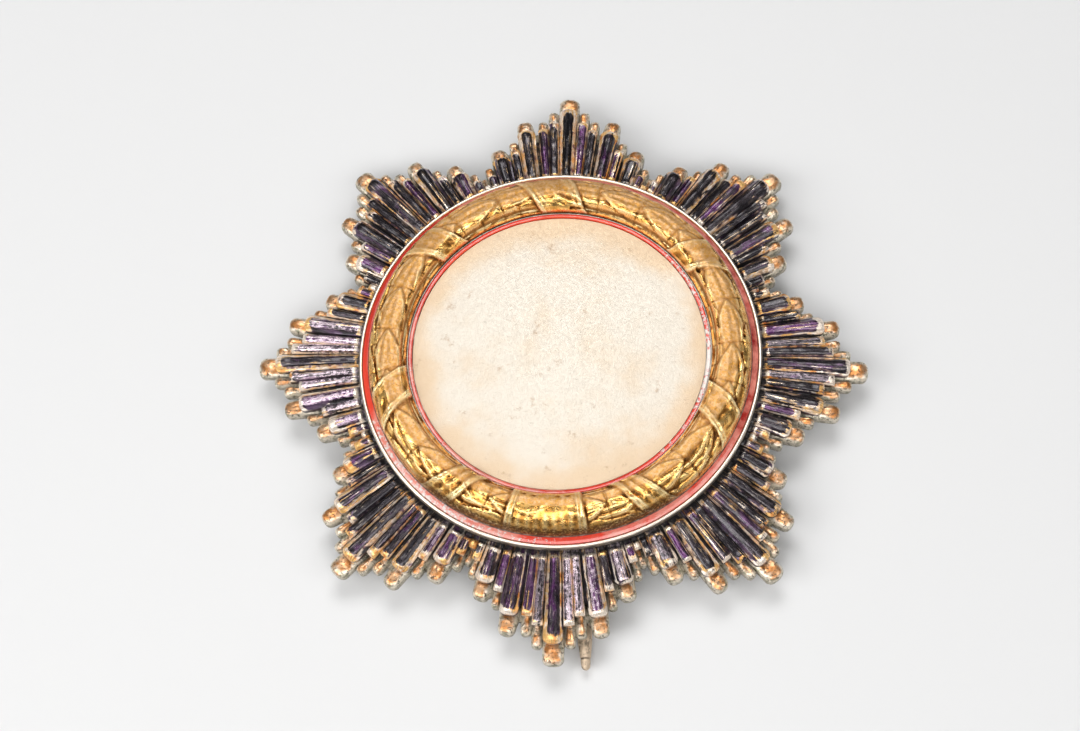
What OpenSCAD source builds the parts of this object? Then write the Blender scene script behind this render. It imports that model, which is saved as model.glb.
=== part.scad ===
// Breast star: two stacked rayed stars, an enamelled medallion with a laurel wreath, and a hinged pin.
// The star lies face up: +Z is its face, +Y its top, and Z = 0 is the surface that its back fittings rest on.

/* [Stars] */
// Distance across two opposite main points of the lower star
star_d = 65; // [56:0.5:76]
// How far the upper star's main points stand in from the lower star's
upper_in = 1.9; // [1.2:0.1:3]
// Number of main points
point_count = 8; // [7:1:9]
// Height of the lower star's points above the surface it lies on
point_lift = 2.4; // [2.2:0.1:4]
// How much higher the stars' middle is than their points
dome_rise = 2.1; // [1:0.1:3]
// Thickness of the lower star at the foot of its rays
lower_edge_t = 0.65; // [0.5:0.05:1.2]
// How far the lower star's rays stand out of it
lower_relief = 0.55; // [0.2:0.05:0.8]
// Thickness of the upper star at the foot of its rays
upper_edge_t = 0.55; // [0.4:0.05:1.2]
// How far the upper star's rays stand out of it
upper_relief = 0.65; // [0.2:0.05:0.9]

/* [Medallion] */
// Diameter of the medallion over its silver rim
medal_d = 42.5; // [38:0.5:46]
// Height of the medallion's outer wall
rim_wall_h = 1; // [0.7:0.05:2]
// Width of the silver rim
rim_w = 0.4; // [0.25:0.01:0.8]
// Width of the outer enamel band
outer_enamel_w = 0.66; // [0.4:0.02:1.5]
// How much higher the inner edge of the outer enamel is than its outer edge
outer_enamel_rise = 0.4; // [0:0.05:0.6]
// Depth of the enamel
enamel_t = 0.35; // [0.2:0.05:0.6]
// How much higher the inner foot of the wreath is than its outer foot
bed_rise = 0.85; // [0:0.05:1.2]
// Width of the silver edge inside the wreath
inner_edge_w = 0.1; // [0.1:0.01:0.6]
// Height of that edge above the wreath's inner foot
inner_edge_h = 0.06; // [0.05:0.01:0.4]
// Width of the inner enamel band
inner_enamel_w = 0.48; // [0.3:0.02:1.2]
// Thickness of the field at its edge
field_t = 0.4; // [0.3:0.05:0.8]
// How much higher the middle of the field is than its edge
field_rise = 0.8; // [0.2:0.05:1.2]

/* [Wreath] */
// Width of the wreath from its inner to its outer foot
wreath_w = 4.2; // [3:0.1:6]
// Height of the wreath's body over its seat
wreath_h = 1.85; // [1:0.05:2.6]
// How far the leaves stand out of the wreath's body
leaf_relief = 0.46; // [0.1:0.02:0.6]
// Angle from one leaf to the next
leaf_pitch = 15; // [10:1:20]
// Angle that one leaf spans
leaf_span = 21; // [12:1:24]
// Turn of the wreath's tablet from the bottom of the star
wreath_turn = -2.5; // [-5:0.5:5]
// Half the angle that the bare tablet spans
tablet_half = 12.5; // [8:0.5:15]

/* [Pin and catch] */
// How far the hinge stands in from the star's main points
hinge_in = 6.5; // [6.5:0.5:12]
// Height of the hinge's axis above the surface
hinge_z = 1.15; // [1.1:0.05:1.3]
// Diameter of the hinge rod
rod_d = 0.8; // [0.6:0.05:1]
// Diameter of the pin's eye
eye_d = 2; // [1.8:0.05:2.1]
// Width of the pin's eye
eye_w = 1.9; // [1.8:0.05:3]
// Diameter of the pin's wire
pin_d = 1.6; // [1:0.05:1.7]
// Diameter of the pin's blunt end
pin_end_d = 0.96; // [0.5:0.02:1]
// Length of the tapered end
pin_taper = 3; // [2:0.1:8]
// How far the pin's tip stands in from the star's main points
pin_tip_in = 0.1; // [0.1:0.1:5]
// Distance of the pin's tip from the star's upright axis
pin_side = 3.3; // [3:0.1:6]
// Thickness of each hinge lug
lug_t = 1.2; // [0.8:0.05:2]
// Thickness of the wall behind the eye
hinge_wall = 0.5; // [0.4:0.05:1]
// How far the catch stands in from the star's main points
catch_in = 7.5; // [6.5:0.5:14]
// Width of the catch along the pin
catch_w = 2.4; // [1.5:0.1:4]
// Thickness of the catch's strip
catch_t = 0.5; // [0.4:0.05:0.6]
// Length of the catch's arms past its bend
catch_arm = 1.2; // [0.6:0.1:1.4]
// Sideways place of the centre of the catch's bend
catch_side = -0.1; // [-1:0.1:0]

/* [Fits] */
// Gap between the stacked layers
layer_gap = 0.1; // [0.08:0.01:0.3]
// Gap round each inlaid or soldered-on piece
seat_gap = 0.04; // [0.02:0.01:0.1]
// Radial clearance of the pin's eye on its rod
eye_clearance = 0.04; // [0.02:0.01:0.08]
// Clearance of the eye from the lugs and the wall
hinge_gap = 0.1; // [0.06:0.02:0.3]

/* [Hidden] */

SILVER = "#b9b4a6";
DARK = "#37323d";
GILT = "#c59a3f";
ENAMEL = "#c63a33";
FIELD = "#e6dcc6";
STEEL = "#9d9284";

// Forms of a ray: a rod with a ball end, a roof with a square end, or the groove between two
ROD = 0;
ROOF = 1;
GROOVE = 2;

// Half of the fan from a main ray to the valley. Columns: width, as a share of the half fan's
// widths; distance of the end from the centre, as a share of the star's radius; form.
RAY_WIDTH = 0;
RAY_REACH = 1;
RAY_FORM = 2;
RAYS = [
    [4.1, 1.000, ROD],
    [2.35, 0.945, ROOF],
    [2.35, 0.914, ROOF],
    [0.6, 0.870, GROOVE],
    [4.25, 0.920, ROD],
    [2.3, 0.845, ROOF],
    [0.35, 0.810, GROOVE],
    [4.75, 0.828, ROD],
    [2.3, 0.768, ROOF],
    [1.9, 0.735, ROOF]
];
LAST_RAY = len(RAYS) - 1;

// Cross-section of each form. Columns: place across the ray, from -1 to 1; height as a share.
SECTIONS = [
    [[-0.97, 0], [-0.6, 0.8], [0, 1], [0.6, 0.8], [0.97, 0]],
    [[-0.96, 0], [0, 1], [0.96, 0]],
    [[0, 0]]
];
// How far a ray's end falls back at its sides, and how long its top slopes down to the end,
// both as shares of half the ray's width
END_CURVE = [1, 0.5, 0];
END_SLOPE = [1, 0.8, 0.5];
// Along that slope: share of its length left, and share of the relief left
SLOPE_STEP = 0.3;
SLOPE_RELIEF = 0.72;
// Share of the edge's thickness that is left at a ray's very end
END_EDGE = 0.85;

star_r = star_d / 2;
upper_r = star_r - upper_in;
medal_r = medal_d / 2;
// Inside this radius both stars are plain cones under the medallion
SEAT_MARGIN = 0.3;
seat_r = medal_r + SEAT_MARGIN;
// How far a cut runs past the face that it opens
OVER = 1;
half_fan = 180 / point_count;
half_weight = RAYS[0][RAY_WIDTH] / 2 + RAYS[LAST_RAY][RAY_WIDTH] / 2
    + total([for (i = [1 : LAST_RAY - 1]) RAYS[i][RAY_WIDTH]]);
degrees_each = half_fan / half_weight;

// Distances from the star's centre
hinge_at = star_r - hinge_in;
pin_tip_at = star_r - pin_tip_in;
catch_at = star_r - catch_in;

pin_r = pin_d / 2;
pin_end_r = pin_end_d / 2;
rod_r = rod_d / 2;
slot_half = eye_w / 2 + hinge_gap;
block_half = slot_half + lug_t;
block_front = hinge_at - eye_d / 2 - hinge_gap;
block_back = hinge_at + eye_d / 2 + hinge_gap + hinge_wall;
pin_angle = atan2(pin_side, hinge_at + pin_tip_at);
pin_len = norm([pin_side, hinge_at + pin_tip_at]);

function total(list, i = 0) = i < len(list) ? list[i] + total(list, i + 1) : 0;
function mix(a, b, t) = a + (b - a) * t;
function flat(lists) = [for (list = lists) for (item = list) item];
function on_circle(r, angle, z) = [r * cos(angle), r * sin(angle), z];
function wrapped(angle) = angle - 360 * floor((angle + 180) / 360);

// Heights of the stars, by the distance from the centre
function dome(r) = dome_rise * (1 - pow(r / star_r, 2));
function lower_back(r) = point_lift + dome_rise * (1 - r / star_r);
function lower_foot(r) = point_lift + lower_edge_t + dome(r);
function upper_back(r) = lower_foot(r) + lower_relief + layer_gap;
function upper_foot(r) = upper_back(r) + upper_edge_t;
function upper_crown(r) = upper_foot(r) + upper_relief;
// Under the medallion the upper star's crowns lie on a cone
function seat_cone(r) = mix(upper_crown(0), upper_crown(seat_r), r / seat_r);

// Middle of ray i of the half fan, in degrees from the main ray
function ray_angle(i) = i == 0 ? 0
    : degrees_each * (RAYS[0][RAY_WIDTH] / 2 + RAYS[i][RAY_WIDTH] / 2
        + total([for (j = [1 : 1 : i - 1]) RAYS[j][RAY_WIDTH]]));

// One column of a star's surface: angle, distance of its end, relief share, end slope length
COLUMN_ANGLE = 0;
COLUMN_END = 1;
COLUMN_HEIGHT = 2;
COLUMN_SLOPE = 3;
function ray_columns(i, middle, radius) =
    let (
        form = RAYS[i][RAY_FORM],
        half_angle = degrees_each * RAYS[i][RAY_WIDTH] / 2,
        reach = RAYS[i][RAY_REACH] * radius,
        half_width = reach * sin(half_angle)
    )
    [for (p = SECTIONS[form]) [
        middle + p[0] * half_angle,
        reach - END_CURVE[form] * half_width * (1 - sqrt(1 - p[0] * p[0])),
        p[1],
        END_SLOPE[form] * half_width
    ]];
function fan_columns(main, radius) = flat([
    for (i = [LAST_RAY - 1 : -1 : 1]) ray_columns(i, main - ray_angle(i), radius),
    for (i = [0 : LAST_RAY]) ray_columns(i, main + ray_angle(i), radius)
]);
function star_columns(radius) =
    flat([for (k = [0 : point_count - 1]) fan_columns(2 * half_fan * k, radius)]);

// Faces between two closed rings of n points, and from a ring to one point
function ring_faces(n, a, b) =
    [for (i = [0 : n - 1]) let (j = (i + 1) % n) each [[a + i, b + j, b + i], [a + i, a + j, b + j]]];
function fan_faces(n, a, centre, up) =
    [for (i = [0 : n - 1]) let (j = (i + 1) % n) up ? [centre, a + j, a + i] : [centre, a + i, a + j]];

// A rayed star as one closed solid between its foot, its relief and its back.
// The rings run from the seat out to the rays' ends, down, and back to the middle.
module rayed_star(radius, relief, is_upper) {
    columns = star_columns(radius);
    n = len(columns);
    function foot(r) = is_upper ? upper_foot(r) : lower_foot(r);
    function back(r) = is_upper ? upper_back(r) : lower_back(r);
    edge_t = is_upper ? upper_edge_t : lower_edge_t;
    seat = [for (c = columns) on_circle(seat_r, c[COLUMN_ANGLE], foot(seat_r) + relief * c[COLUMN_HEIGHT])];
    crown = [for (c = columns) let (r = c[COLUMN_END] - c[COLUMN_SLOPE])
        on_circle(r, c[COLUMN_ANGLE], foot(r) + relief * c[COLUMN_HEIGHT])];
    slope = [for (c = columns) let (r = c[COLUMN_END] - SLOPE_STEP * c[COLUMN_SLOPE])
        on_circle(r, c[COLUMN_ANGLE], foot(r) + relief * c[COLUMN_HEIGHT] * SLOPE_RELIEF)];
    end = [for (c = columns) let (r = c[COLUMN_END])
        on_circle(r, c[COLUMN_ANGLE], foot(r) - edge_t * (1 - END_EDGE))];
    under = [for (c = columns) let (r = c[COLUMN_END]) on_circle(r, c[COLUMN_ANGLE], back(r))];
    back_seat = [for (c = columns) on_circle(seat_r, c[COLUMN_ANGLE], back(seat_r))];
    middle = [[0, 0, foot(0) + relief], [0, 0, back(0)]];
    polyhedron(
        points = concat(seat, crown, slope, end, under, is_upper ? back_seat : [], middle),
        faces = concat(
            fan_faces(n, 0, (is_upper ? 6 : 5) * n, true),
            ring_faces(n, 0, n),
            ring_faces(n, n, 2 * n),
            ring_faces(n, 2 * n, 3 * n),
            ring_faces(n, 3 * n, 4 * n),
            is_upper ? ring_faces(n, 4 * n, 5 * n) : [],
            fan_faces(n, (is_upper ? 5 : 4) * n, (is_upper ? 6 : 5) * n + 1, false)
        )
    );
}

module lower_star() {
    color(SILVER) rayed_star(star_r, lower_relief, false);
}

module upper_star() {
    color(DARK) rayed_star(upper_r, upper_relief, true);
}

// Radii and heights of the medallion's rings, from the rim inwards
rim_z = seat_cone(medal_r) + layer_gap + rim_wall_h;
outer_enamel_r = medal_r - rim_w;
wreath_outer_r = outer_enamel_r - outer_enamel_w;
wreath_inner_r = wreath_outer_r - wreath_w;
inner_enamel_r = wreath_inner_r - inner_edge_w;
field_r = inner_enamel_r - inner_enamel_w;
bed_outer_z = rim_z + outer_enamel_rise;
bed_inner_z = bed_outer_z + bed_rise;
field_floor_z = bed_inner_z - field_t;

module medallion_plate() {
    color(SILVER) rotate_extrude($fn = 120) polygon([
        [0, seat_cone(0) + layer_gap],
        [medal_r, seat_cone(medal_r) + layer_gap],
        [medal_r, rim_z],
        [outer_enamel_r, rim_z],
        [outer_enamel_r, rim_z - enamel_t],
        [wreath_outer_r, bed_outer_z - enamel_t],
        [wreath_outer_r, bed_outer_z],
        [wreath_inner_r, bed_inner_z],
        [wreath_inner_r, bed_inner_z + inner_edge_h],
        [inner_enamel_r, bed_inner_z + inner_edge_h],
        [inner_enamel_r, bed_inner_z - enamel_t],
        [field_r, bed_inner_z - enamel_t],
        [field_r, field_floor_z],
        [0, field_floor_z]
    ]);
}

module outer_enamel() {
    color(ENAMEL) rotate_extrude($fn = 120) polygon([
        [outer_enamel_r - seat_gap, rim_z - enamel_t + 2 * seat_gap],
        [outer_enamel_r - seat_gap, rim_z - seat_gap],
        [wreath_outer_r + seat_gap, bed_outer_z - seat_gap],
        [wreath_outer_r + seat_gap, bed_outer_z - enamel_t + 2 * seat_gap]
    ]);
}

module inner_enamel() {
    color(ENAMEL) rotate_extrude($fn = 120) polygon([
        [inner_enamel_r - seat_gap, bed_inner_z - enamel_t + seat_gap],
        [inner_enamel_r - seat_gap, bed_inner_z + seat_gap],
        [field_r + seat_gap, bed_inner_z + seat_gap],
        [field_r + seat_gap, bed_inner_z - enamel_t + seat_gap]
    ]);
}

// The field is a shallow cap whose top is an arc through its edge and its middle
FIELD_STEPS = 10;
module field_disc() {
    edge_r = field_r - seat_gap;
    arc_r = (edge_r * edge_r + field_rise * field_rise) / (2 * field_rise);
    half_arc = asin(edge_r / arc_r);
    function arc_point(angle) = [arc_r * sin(angle), bed_inner_z + field_rise - arc_r * (1 - cos(angle))];
    color(FIELD) rotate_extrude($fn = 120) polygon(concat(
        [[0, field_floor_z + seat_gap], [edge_r, field_floor_z + seat_gap]],
        [for (i = [FIELD_STEPS : -1 : 0]) arc_point(half_arc * i / FIELD_STEPS)]
    ));
}

// Rows of leaves. Columns: place across the wreath, from 0 inside to 1 outside; half width;
// shift along the wreath, as a share of the leaf pitch.
LEAF_ACROSS = 0;
LEAF_HALF = 1;
LEAF_SHIFT = 2;
LEAF_ROWS = [[0.5, 0.21, 0], [0.24, 0.17, 0.5], [0.76, 0.17, 0.5]];
// Tip of the first leaf above the tablet, in leaf pitches from the tablet's middle
FIRST_TIP = 1.3;
// Shares of a leaf's height that it loses from its tip to its base, and from its middle to its edge
TIP_RISE = 0.6;
LEAF_CAMBER = 0.4;
// Crossing bands of each branch. Columns: angle from the tablet; half width, in degrees;
// lean, in degrees from the inner to the outer foot.
BAND_AT = 0;
BAND_HALF = 1;
BAND_LEAN = 2;
BANDS = [[31.5, 4.5, 10], [70.5, 6.3, -8.5], [128.5, 6, -9]];
// The band over the top of the wreath leans one way only
TOP_BAND = [6, 8.5, 9];
BAND_HEIGHT = 1.05;
TABLET_HEIGHT = 0.9;
TABLET_BAR = 1.8;
TABLET_BAR_HEIGHT = 1.25;
// Powers that shape the wreath's body: the smaller one makes its inner side the steeper
INNER_ROUND = 0.6;
OUTER_ROUND = 1;
WREATH_STEPS = 216;
SECTION_STEPS = 11;

// Height of one leaf at along, in degrees below its tip, and across the wreath
function leaf_height(row, along, across) =
    let (
        s = along / leaf_span,
        half = row[LEAF_HALF] * sin(180 * pow(s, 0.6)),
        q = (across - row[LEAF_ACROSS]) / max(half, 0.001)
    )
    abs(q) >= 1 ? 0 : (1 - TIP_RISE * s) * (1 - LEAF_CAMBER * q * q);
function row_height(row, angle, across) =
    let (
        first = leaf_pitch * (FIRST_TIP + row[LEAF_SHIFT]),
        next = ceil((angle - first) / leaf_pitch)
    )
    max([for (i = [next, next + 1]) let (along = first + i * leaf_pitch - angle)
        along > 0 && along < leaf_span ? leaf_height(row, along, across) : 0]);
function in_band(band, angle, across) =
    abs(angle - band[BAND_AT] - band[BAND_LEAN] * (across - 0.5)) < band[BAND_HALF];
// Relief of the wreath as a share, by the signed angle from the tablet
function wreath_relief(turn, across) =
    let (
        angle = abs(turn),
        top_turn = wrapped(turn - 180),
        banded = [for (band = BANDS) if (in_band(band, angle, across)) 1]
    )
    angle < tablet_half - TABLET_BAR ? TABLET_HEIGHT
    : angle < tablet_half ? TABLET_BAR_HEIGHT
    : len(banded) > 0 || in_band(TOP_BAND, top_turn, across) ? BAND_HEIGHT
    : max([for (row = LEAF_ROWS) row_height(row, angle, across)]);

// One point of the wreath's surface. Its body rises upright from the sloping seat.
function wreath_point(turn, across) =
    let (
        foot_inner = [wreath_inner_r + seat_gap, bed_inner_z + seat_gap],
        foot_outer = [wreath_outer_r - seat_gap, bed_outer_z + seat_gap],
        rise = sin(180 * across),
        body = wreath_h * pow(rise, across < 0.5 ? INNER_ROUND : OUTER_ROUND),
        relief = leaf_relief * pow(rise, 0.5) * wreath_relief(turn, across),
        foot = mix(foot_inner, foot_outer, (1 - cos(180 * across)) / 2)
    )
    on_circle(foot[0], turn + 270 + wreath_turn, foot[1] + body + relief);

module wreath() {
    n = SECTION_STEPS + 1;
    rings = [for (i = [0 : WREATH_STEPS - 1]) let (turn = wrapped(360 * i / WREATH_STEPS))
        for (j = [0 : SECTION_STEPS]) wreath_point(turn, j / SECTION_STEPS)];
    faces = [for (i = [0 : WREATH_STEPS - 1]) let (a = i * n, b = ((i + 1) % WREATH_STEPS) * n)
        for (j = [0 : n - 1]) let (k = (j + 1) % n)
            each [[a + j, b + j, b + k], [a + j, b + k, a + k]]];
    color(GILT) polyhedron(points = rings, faces = faces);
}

// The block behind the hinge: two lugs with one bore, joined by a wall and a plate on the star
module hinge_block() {
    block_top = lower_back(block_back) - seat_gap;
    eye_room = eye_d / 2 + hinge_gap;
    color(STEEL) difference() {
        translate([-block_half, block_front, 0])
            cube([2 * block_half, block_back - block_front, block_top]);
        translate([-slot_half, block_front - OVER, -OVER])
            cube([2 * slot_half, hinge_at + eye_room - block_front + OVER, hinge_z + eye_room + OVER]);
        translate([-block_half - OVER, hinge_at, hinge_z])
            rotate([0, 90, 0]) cylinder(h = 2 * (block_half + OVER), r = rod_r + seat_gap / 2, $fn = 48);
    }
}

module hinge_rod() {
    color(STEEL) translate([-block_half, hinge_at, hinge_z])
        rotate([0, 90, 0]) cylinder(h = 2 * block_half, r = rod_r, $fn = 48);
}

// The pin's wire leaves its eye slightly aslant and ends in a blunt taper
module pin() {
    straight = pin_len - pin_taper - pin_end_r;
    color(STEEL) difference() {
        translate([0, hinge_at, hinge_z]) {
            translate([-eye_w / 2, 0, 0]) rotate([0, 90, 0]) cylinder(h = eye_w, d = eye_d, $fn = 64);
            rotate([90, 0, pin_angle]) {
                cylinder(h = straight, r = pin_r, $fn = 48);
                translate([0, 0, straight]) cylinder(h = pin_taper, r1 = pin_r, r2 = pin_end_r, $fn = 48);
                translate([0, 0, straight + pin_taper]) sphere(r = pin_end_r, $fn = 48);
            }
        }
        translate([-block_half, hinge_at, hinge_z])
            rotate([0, 90, 0]) cylinder(h = 2 * block_half, r = rod_r + eye_clearance, $fn = 48);
    }
}

// The catch is a strip bent to a hook that opens towards the pin
module catch() {
    catch_h = lower_back(catch_at + catch_w / 2) - seat_gap;
    outer_r = catch_h / 2;
    inner_r = outer_r - catch_t;
    color(STEEL) translate([catch_side, -catch_at + catch_w / 2, outer_r])
        rotate([90, 0, 0]) linear_extrude(catch_w) difference() {
            union() {
                circle(r = outer_r, $fn = 64);
                translate([0, -outer_r]) square([catch_arm, catch_h]);
            }
            circle(r = inner_r, $fn = 64);
            translate([0, -inner_r]) square([catch_arm + OVER, 2 * inner_r]);
        }
}

lower_star();
upper_star();
medallion_plate();
outer_enamel();
wreath();
inner_enamel();
field_disc();
hinge_block();
hinge_rod();
pin();
catch();
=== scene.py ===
"""Breast star: looks of two stacked rayed stars, an enamelled medallion with a laurel wreath, and its pin.

The star lies face up. +Z is its face, +Y its top, and Z = 0 is the surface that its back fittings rest on.
Sizes are written in millimetres and turned into metres where a mesh is made.
"""

import logging
import math
from dataclasses import dataclass, field
from enum import Enum

import bpy
import numpy as np
from mathutils import Matrix, Vector, noise


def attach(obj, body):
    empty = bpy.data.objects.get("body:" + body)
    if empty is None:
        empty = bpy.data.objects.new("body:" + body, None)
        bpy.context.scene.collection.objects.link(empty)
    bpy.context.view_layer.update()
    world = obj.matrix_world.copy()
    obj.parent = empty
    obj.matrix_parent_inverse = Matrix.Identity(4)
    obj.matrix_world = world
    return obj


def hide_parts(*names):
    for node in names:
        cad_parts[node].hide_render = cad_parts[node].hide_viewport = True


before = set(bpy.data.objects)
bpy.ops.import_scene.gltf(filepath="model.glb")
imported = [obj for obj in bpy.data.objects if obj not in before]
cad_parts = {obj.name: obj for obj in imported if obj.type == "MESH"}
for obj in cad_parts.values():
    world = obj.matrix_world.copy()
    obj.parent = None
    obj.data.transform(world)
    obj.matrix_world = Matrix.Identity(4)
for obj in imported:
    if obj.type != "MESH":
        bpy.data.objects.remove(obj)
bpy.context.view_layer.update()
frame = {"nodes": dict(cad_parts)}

MM = 0.001
IMAGE_WIDTH = 1080
HASH_WEIGHTS = (12.9898, 78.233, 37.719, 9.151)
HASH_SCALE = 43758.5453

log = logging.getLogger("breast_star")

Rgb = tuple[float, float, float]
Numbers = np.ndarray | float
Socket = bpy.types.NodeSocket
Fed = Socket | float | Rgb


# Small tools for numbers and meshes


def step(value: Numbers, low: Numbers, high: Numbers) -> Numbers:
    """Smooth step from 0 at low to 1 at high."""
    t = np.clip((value - low) / (high - low), 0.0, 1.0)
    return t * t * (3.0 - 2.0 * t)


def bead(value: np.ndarray, middle: float, half: float) -> np.ndarray:
    """Rounded ridge of height 1 at middle that is gone half to either side."""
    q = np.clip(np.abs(value - middle) / half, 0.0, 1.0)
    return np.sqrt(1.0 - q * q)


def hashed(*keys: float) -> float:
    """A fixed number from 0 to 1 for the given keys."""
    value = math.sin(sum(k * w for k, w in zip(keys, HASH_WEIGHTS))) * HASH_SCALE
    return value - math.floor(value)


def lumps(points: np.ndarray, size: float, shift: float = 0.0) -> np.ndarray:
    """Soft noise from -1 to 1 at each point.

    Args:
        points: Places in mm, one row each.
        size: Width of one lump, in mm.
        shift: Moves the pattern, so that two calls differ.

    Returns:
        One value for each point.
    """
    scaled = points / size + shift
    return np.array([noise.noise(Vector(p)) for p in scaled])


@dataclass(frozen=True)
class Waves:
    """Soft unevenness: its depth and the width of one wave in mm, and a shift that makes it differ."""

    depth: float
    size: float
    shift: float

    def over(self, points: np.ndarray) -> np.ndarray:
        """Its height at each point."""
        return self.depth * lumps(points, self.size, self.shift)


def smoothed(grid: np.ndarray, rows: int, columns: int) -> np.ndarray:
    """Average of each cell's neighbourhood; the rows run round in a circle.

    Args:
        grid: Values by row and column.
        rows: Half width of the neighbourhood in rows.
        columns: Half width in columns.

    Returns:
        The averaged grid.
    """
    total = sum(np.roll(grid, k, axis=0) for k in range(-rows, rows + 1)) / (2 * rows + 1)
    padded = np.pad(total, ((0, 0), (columns, columns)), mode="edge")
    width = grid.shape[1]
    return sum(padded[:, k : k + width] for k in range(2 * columns + 1)) / (2 * columns + 1)


def round_axis(r: Numbers, angle: np.ndarray, z: np.ndarray) -> np.ndarray:
    """Points at the given radii, angles in radians and heights, along a new last axis."""
    return np.stack([r * np.cos(angle), r * np.sin(angle), z], -1)


def ring_quads(rings: int, around: int) -> list[tuple[int, int, int, int]]:
    """Faces between closed rings of points that follow each other, outside up for rings that run inwards."""
    quads = []
    for j in range(rings - 1):
        for i in range(around):
            k = (i + 1) % around
            quads.append((j * around + i, j * around + k, (j + 1) * around + k, (j + 1) * around + i))
    return quads


def closing_fan(ring: int, around: int, centre: int, flip: bool) -> list[tuple[int, int, int]]:
    """Triangles from one ring to a single point."""
    fan = []
    for i in range(around):
        a = ring * around + i
        b = ring * around + (i + 1) % around
        fan.append((b, a, centre) if flip else (a, b, centre))
    return fan


def make_mesh(
    name: str,
    points: np.ndarray,
    faces: list[tuple[int, ...]],
    values: dict[str, np.ndarray] | None = None,
    crease_deg: float = 50.0,
) -> bpy.types.Object:
    """Makes a shaded mesh object and links it to the scene.

    Args:
        name: Name of the piece.
        points: Places in mm, one row each.
        faces: Corner numbers of each face.
        values: Named values for each point, which the finish reads.
        crease_deg: Edges bent by more than this stay sharp.

    Returns:
        The new object.
    """
    mesh = bpy.data.meshes.new(name)
    mesh.from_pydata((points * MM).tolist(), [], faces)
    for key, numbers in (values or {}).items():
        attribute = mesh.attributes.new(key, "FLOAT", "POINT")
        attribute.data.foreach_set("value", np.asarray(numbers, np.float32))
    mesh.polygons.foreach_set("use_smooth", [True] * len(mesh.polygons))
    mesh.set_sharp_from_angle(angle=math.radians(crease_deg))
    mesh.update()
    obj = bpy.data.objects.new(name, mesh)
    bpy.context.scene.collection.objects.link(obj)
    return obj


def lathe(
    name: str,
    profile: list[tuple[float, float]],
    steps: int,
    values: dict[str, np.ndarray] | None = None,
    waves: Waves | None = None,
) -> bpy.types.Object:
    """Turns a closed profile about the star's upright axis.

    Args:
        name: Name of the piece.
        profile: Radius and height of each corner in mm, against the clock as seen with radius to the right.
        steps: Number of steps round the circle.
        values: Named values for each point of the profile.
        waves: How the surface waves up and down.

    Returns:
        The new object.
    """
    shape = np.array(profile)
    count = len(shape)
    turn = np.linspace(0, 2 * np.pi, steps, endpoint=False)
    r, a = np.meshgrid(shape[:, 0], turn, indexing="ij")
    z = np.repeat(shape[:, 1][:, None], steps, axis=1)
    points = round_axis(r, a, z).reshape(-1, 3)
    if waves:
        points[:, 2] += waves.over(points)
    faces = []
    for j in range(count):
        n = (j + 1) % count
        for i in range(steps):
            k = (i + 1) % steps
            faces.append((j * steps + i, j * steps + k, n * steps + k, n * steps + i))
    spread = {key: np.repeat(np.asarray(v, float), steps) for key, v in (values or {}).items()}
    return make_mesh(name, points, faces, spread, 40.0)


# Node trees


@dataclass(frozen=True)
class Grain:
    """Soft noise: its scale, detail and roughness, and a shift that makes it differ from others."""

    scale: float
    detail: float = 3.0
    rough: float = 0.6
    shift: float = 0.0


@dataclass(frozen=True)
class Drawn:
    """Noise drawn out along the rays: its scale, its share of that scale along them, and a shift."""

    scale: float
    along: float
    shift: float = 0.0


@dataclass(frozen=True)
class Rise:
    """A smooth rise: up to low it gives least, from high on it gives most."""

    low: float
    high: float
    most: float = 1.0
    least: float = 0.0


@dataclass(frozen=True)
class Patches:
    """Patches cut from a noise by a rise."""

    grain: Grain
    rise: Rise


@dataclass(frozen=True)
class Wear:
    """Rubbing: how far it reaches, the scale of its broken edge and how soft that edge is."""

    reach: float
    scale: float
    softness: float


@dataclass(frozen=True)
class ShadeAndDirt:
    """Dirt and painted shade in the hollows: how much there is and the scale of its patches."""

    amount: float
    scale: float


@dataclass(frozen=True)
class Skin:
    """Cast surface: scale of its noise, share of pits, and its bump's depth in metres and strength."""

    scale: float
    pits: float
    depth: float
    strength: float


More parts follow.
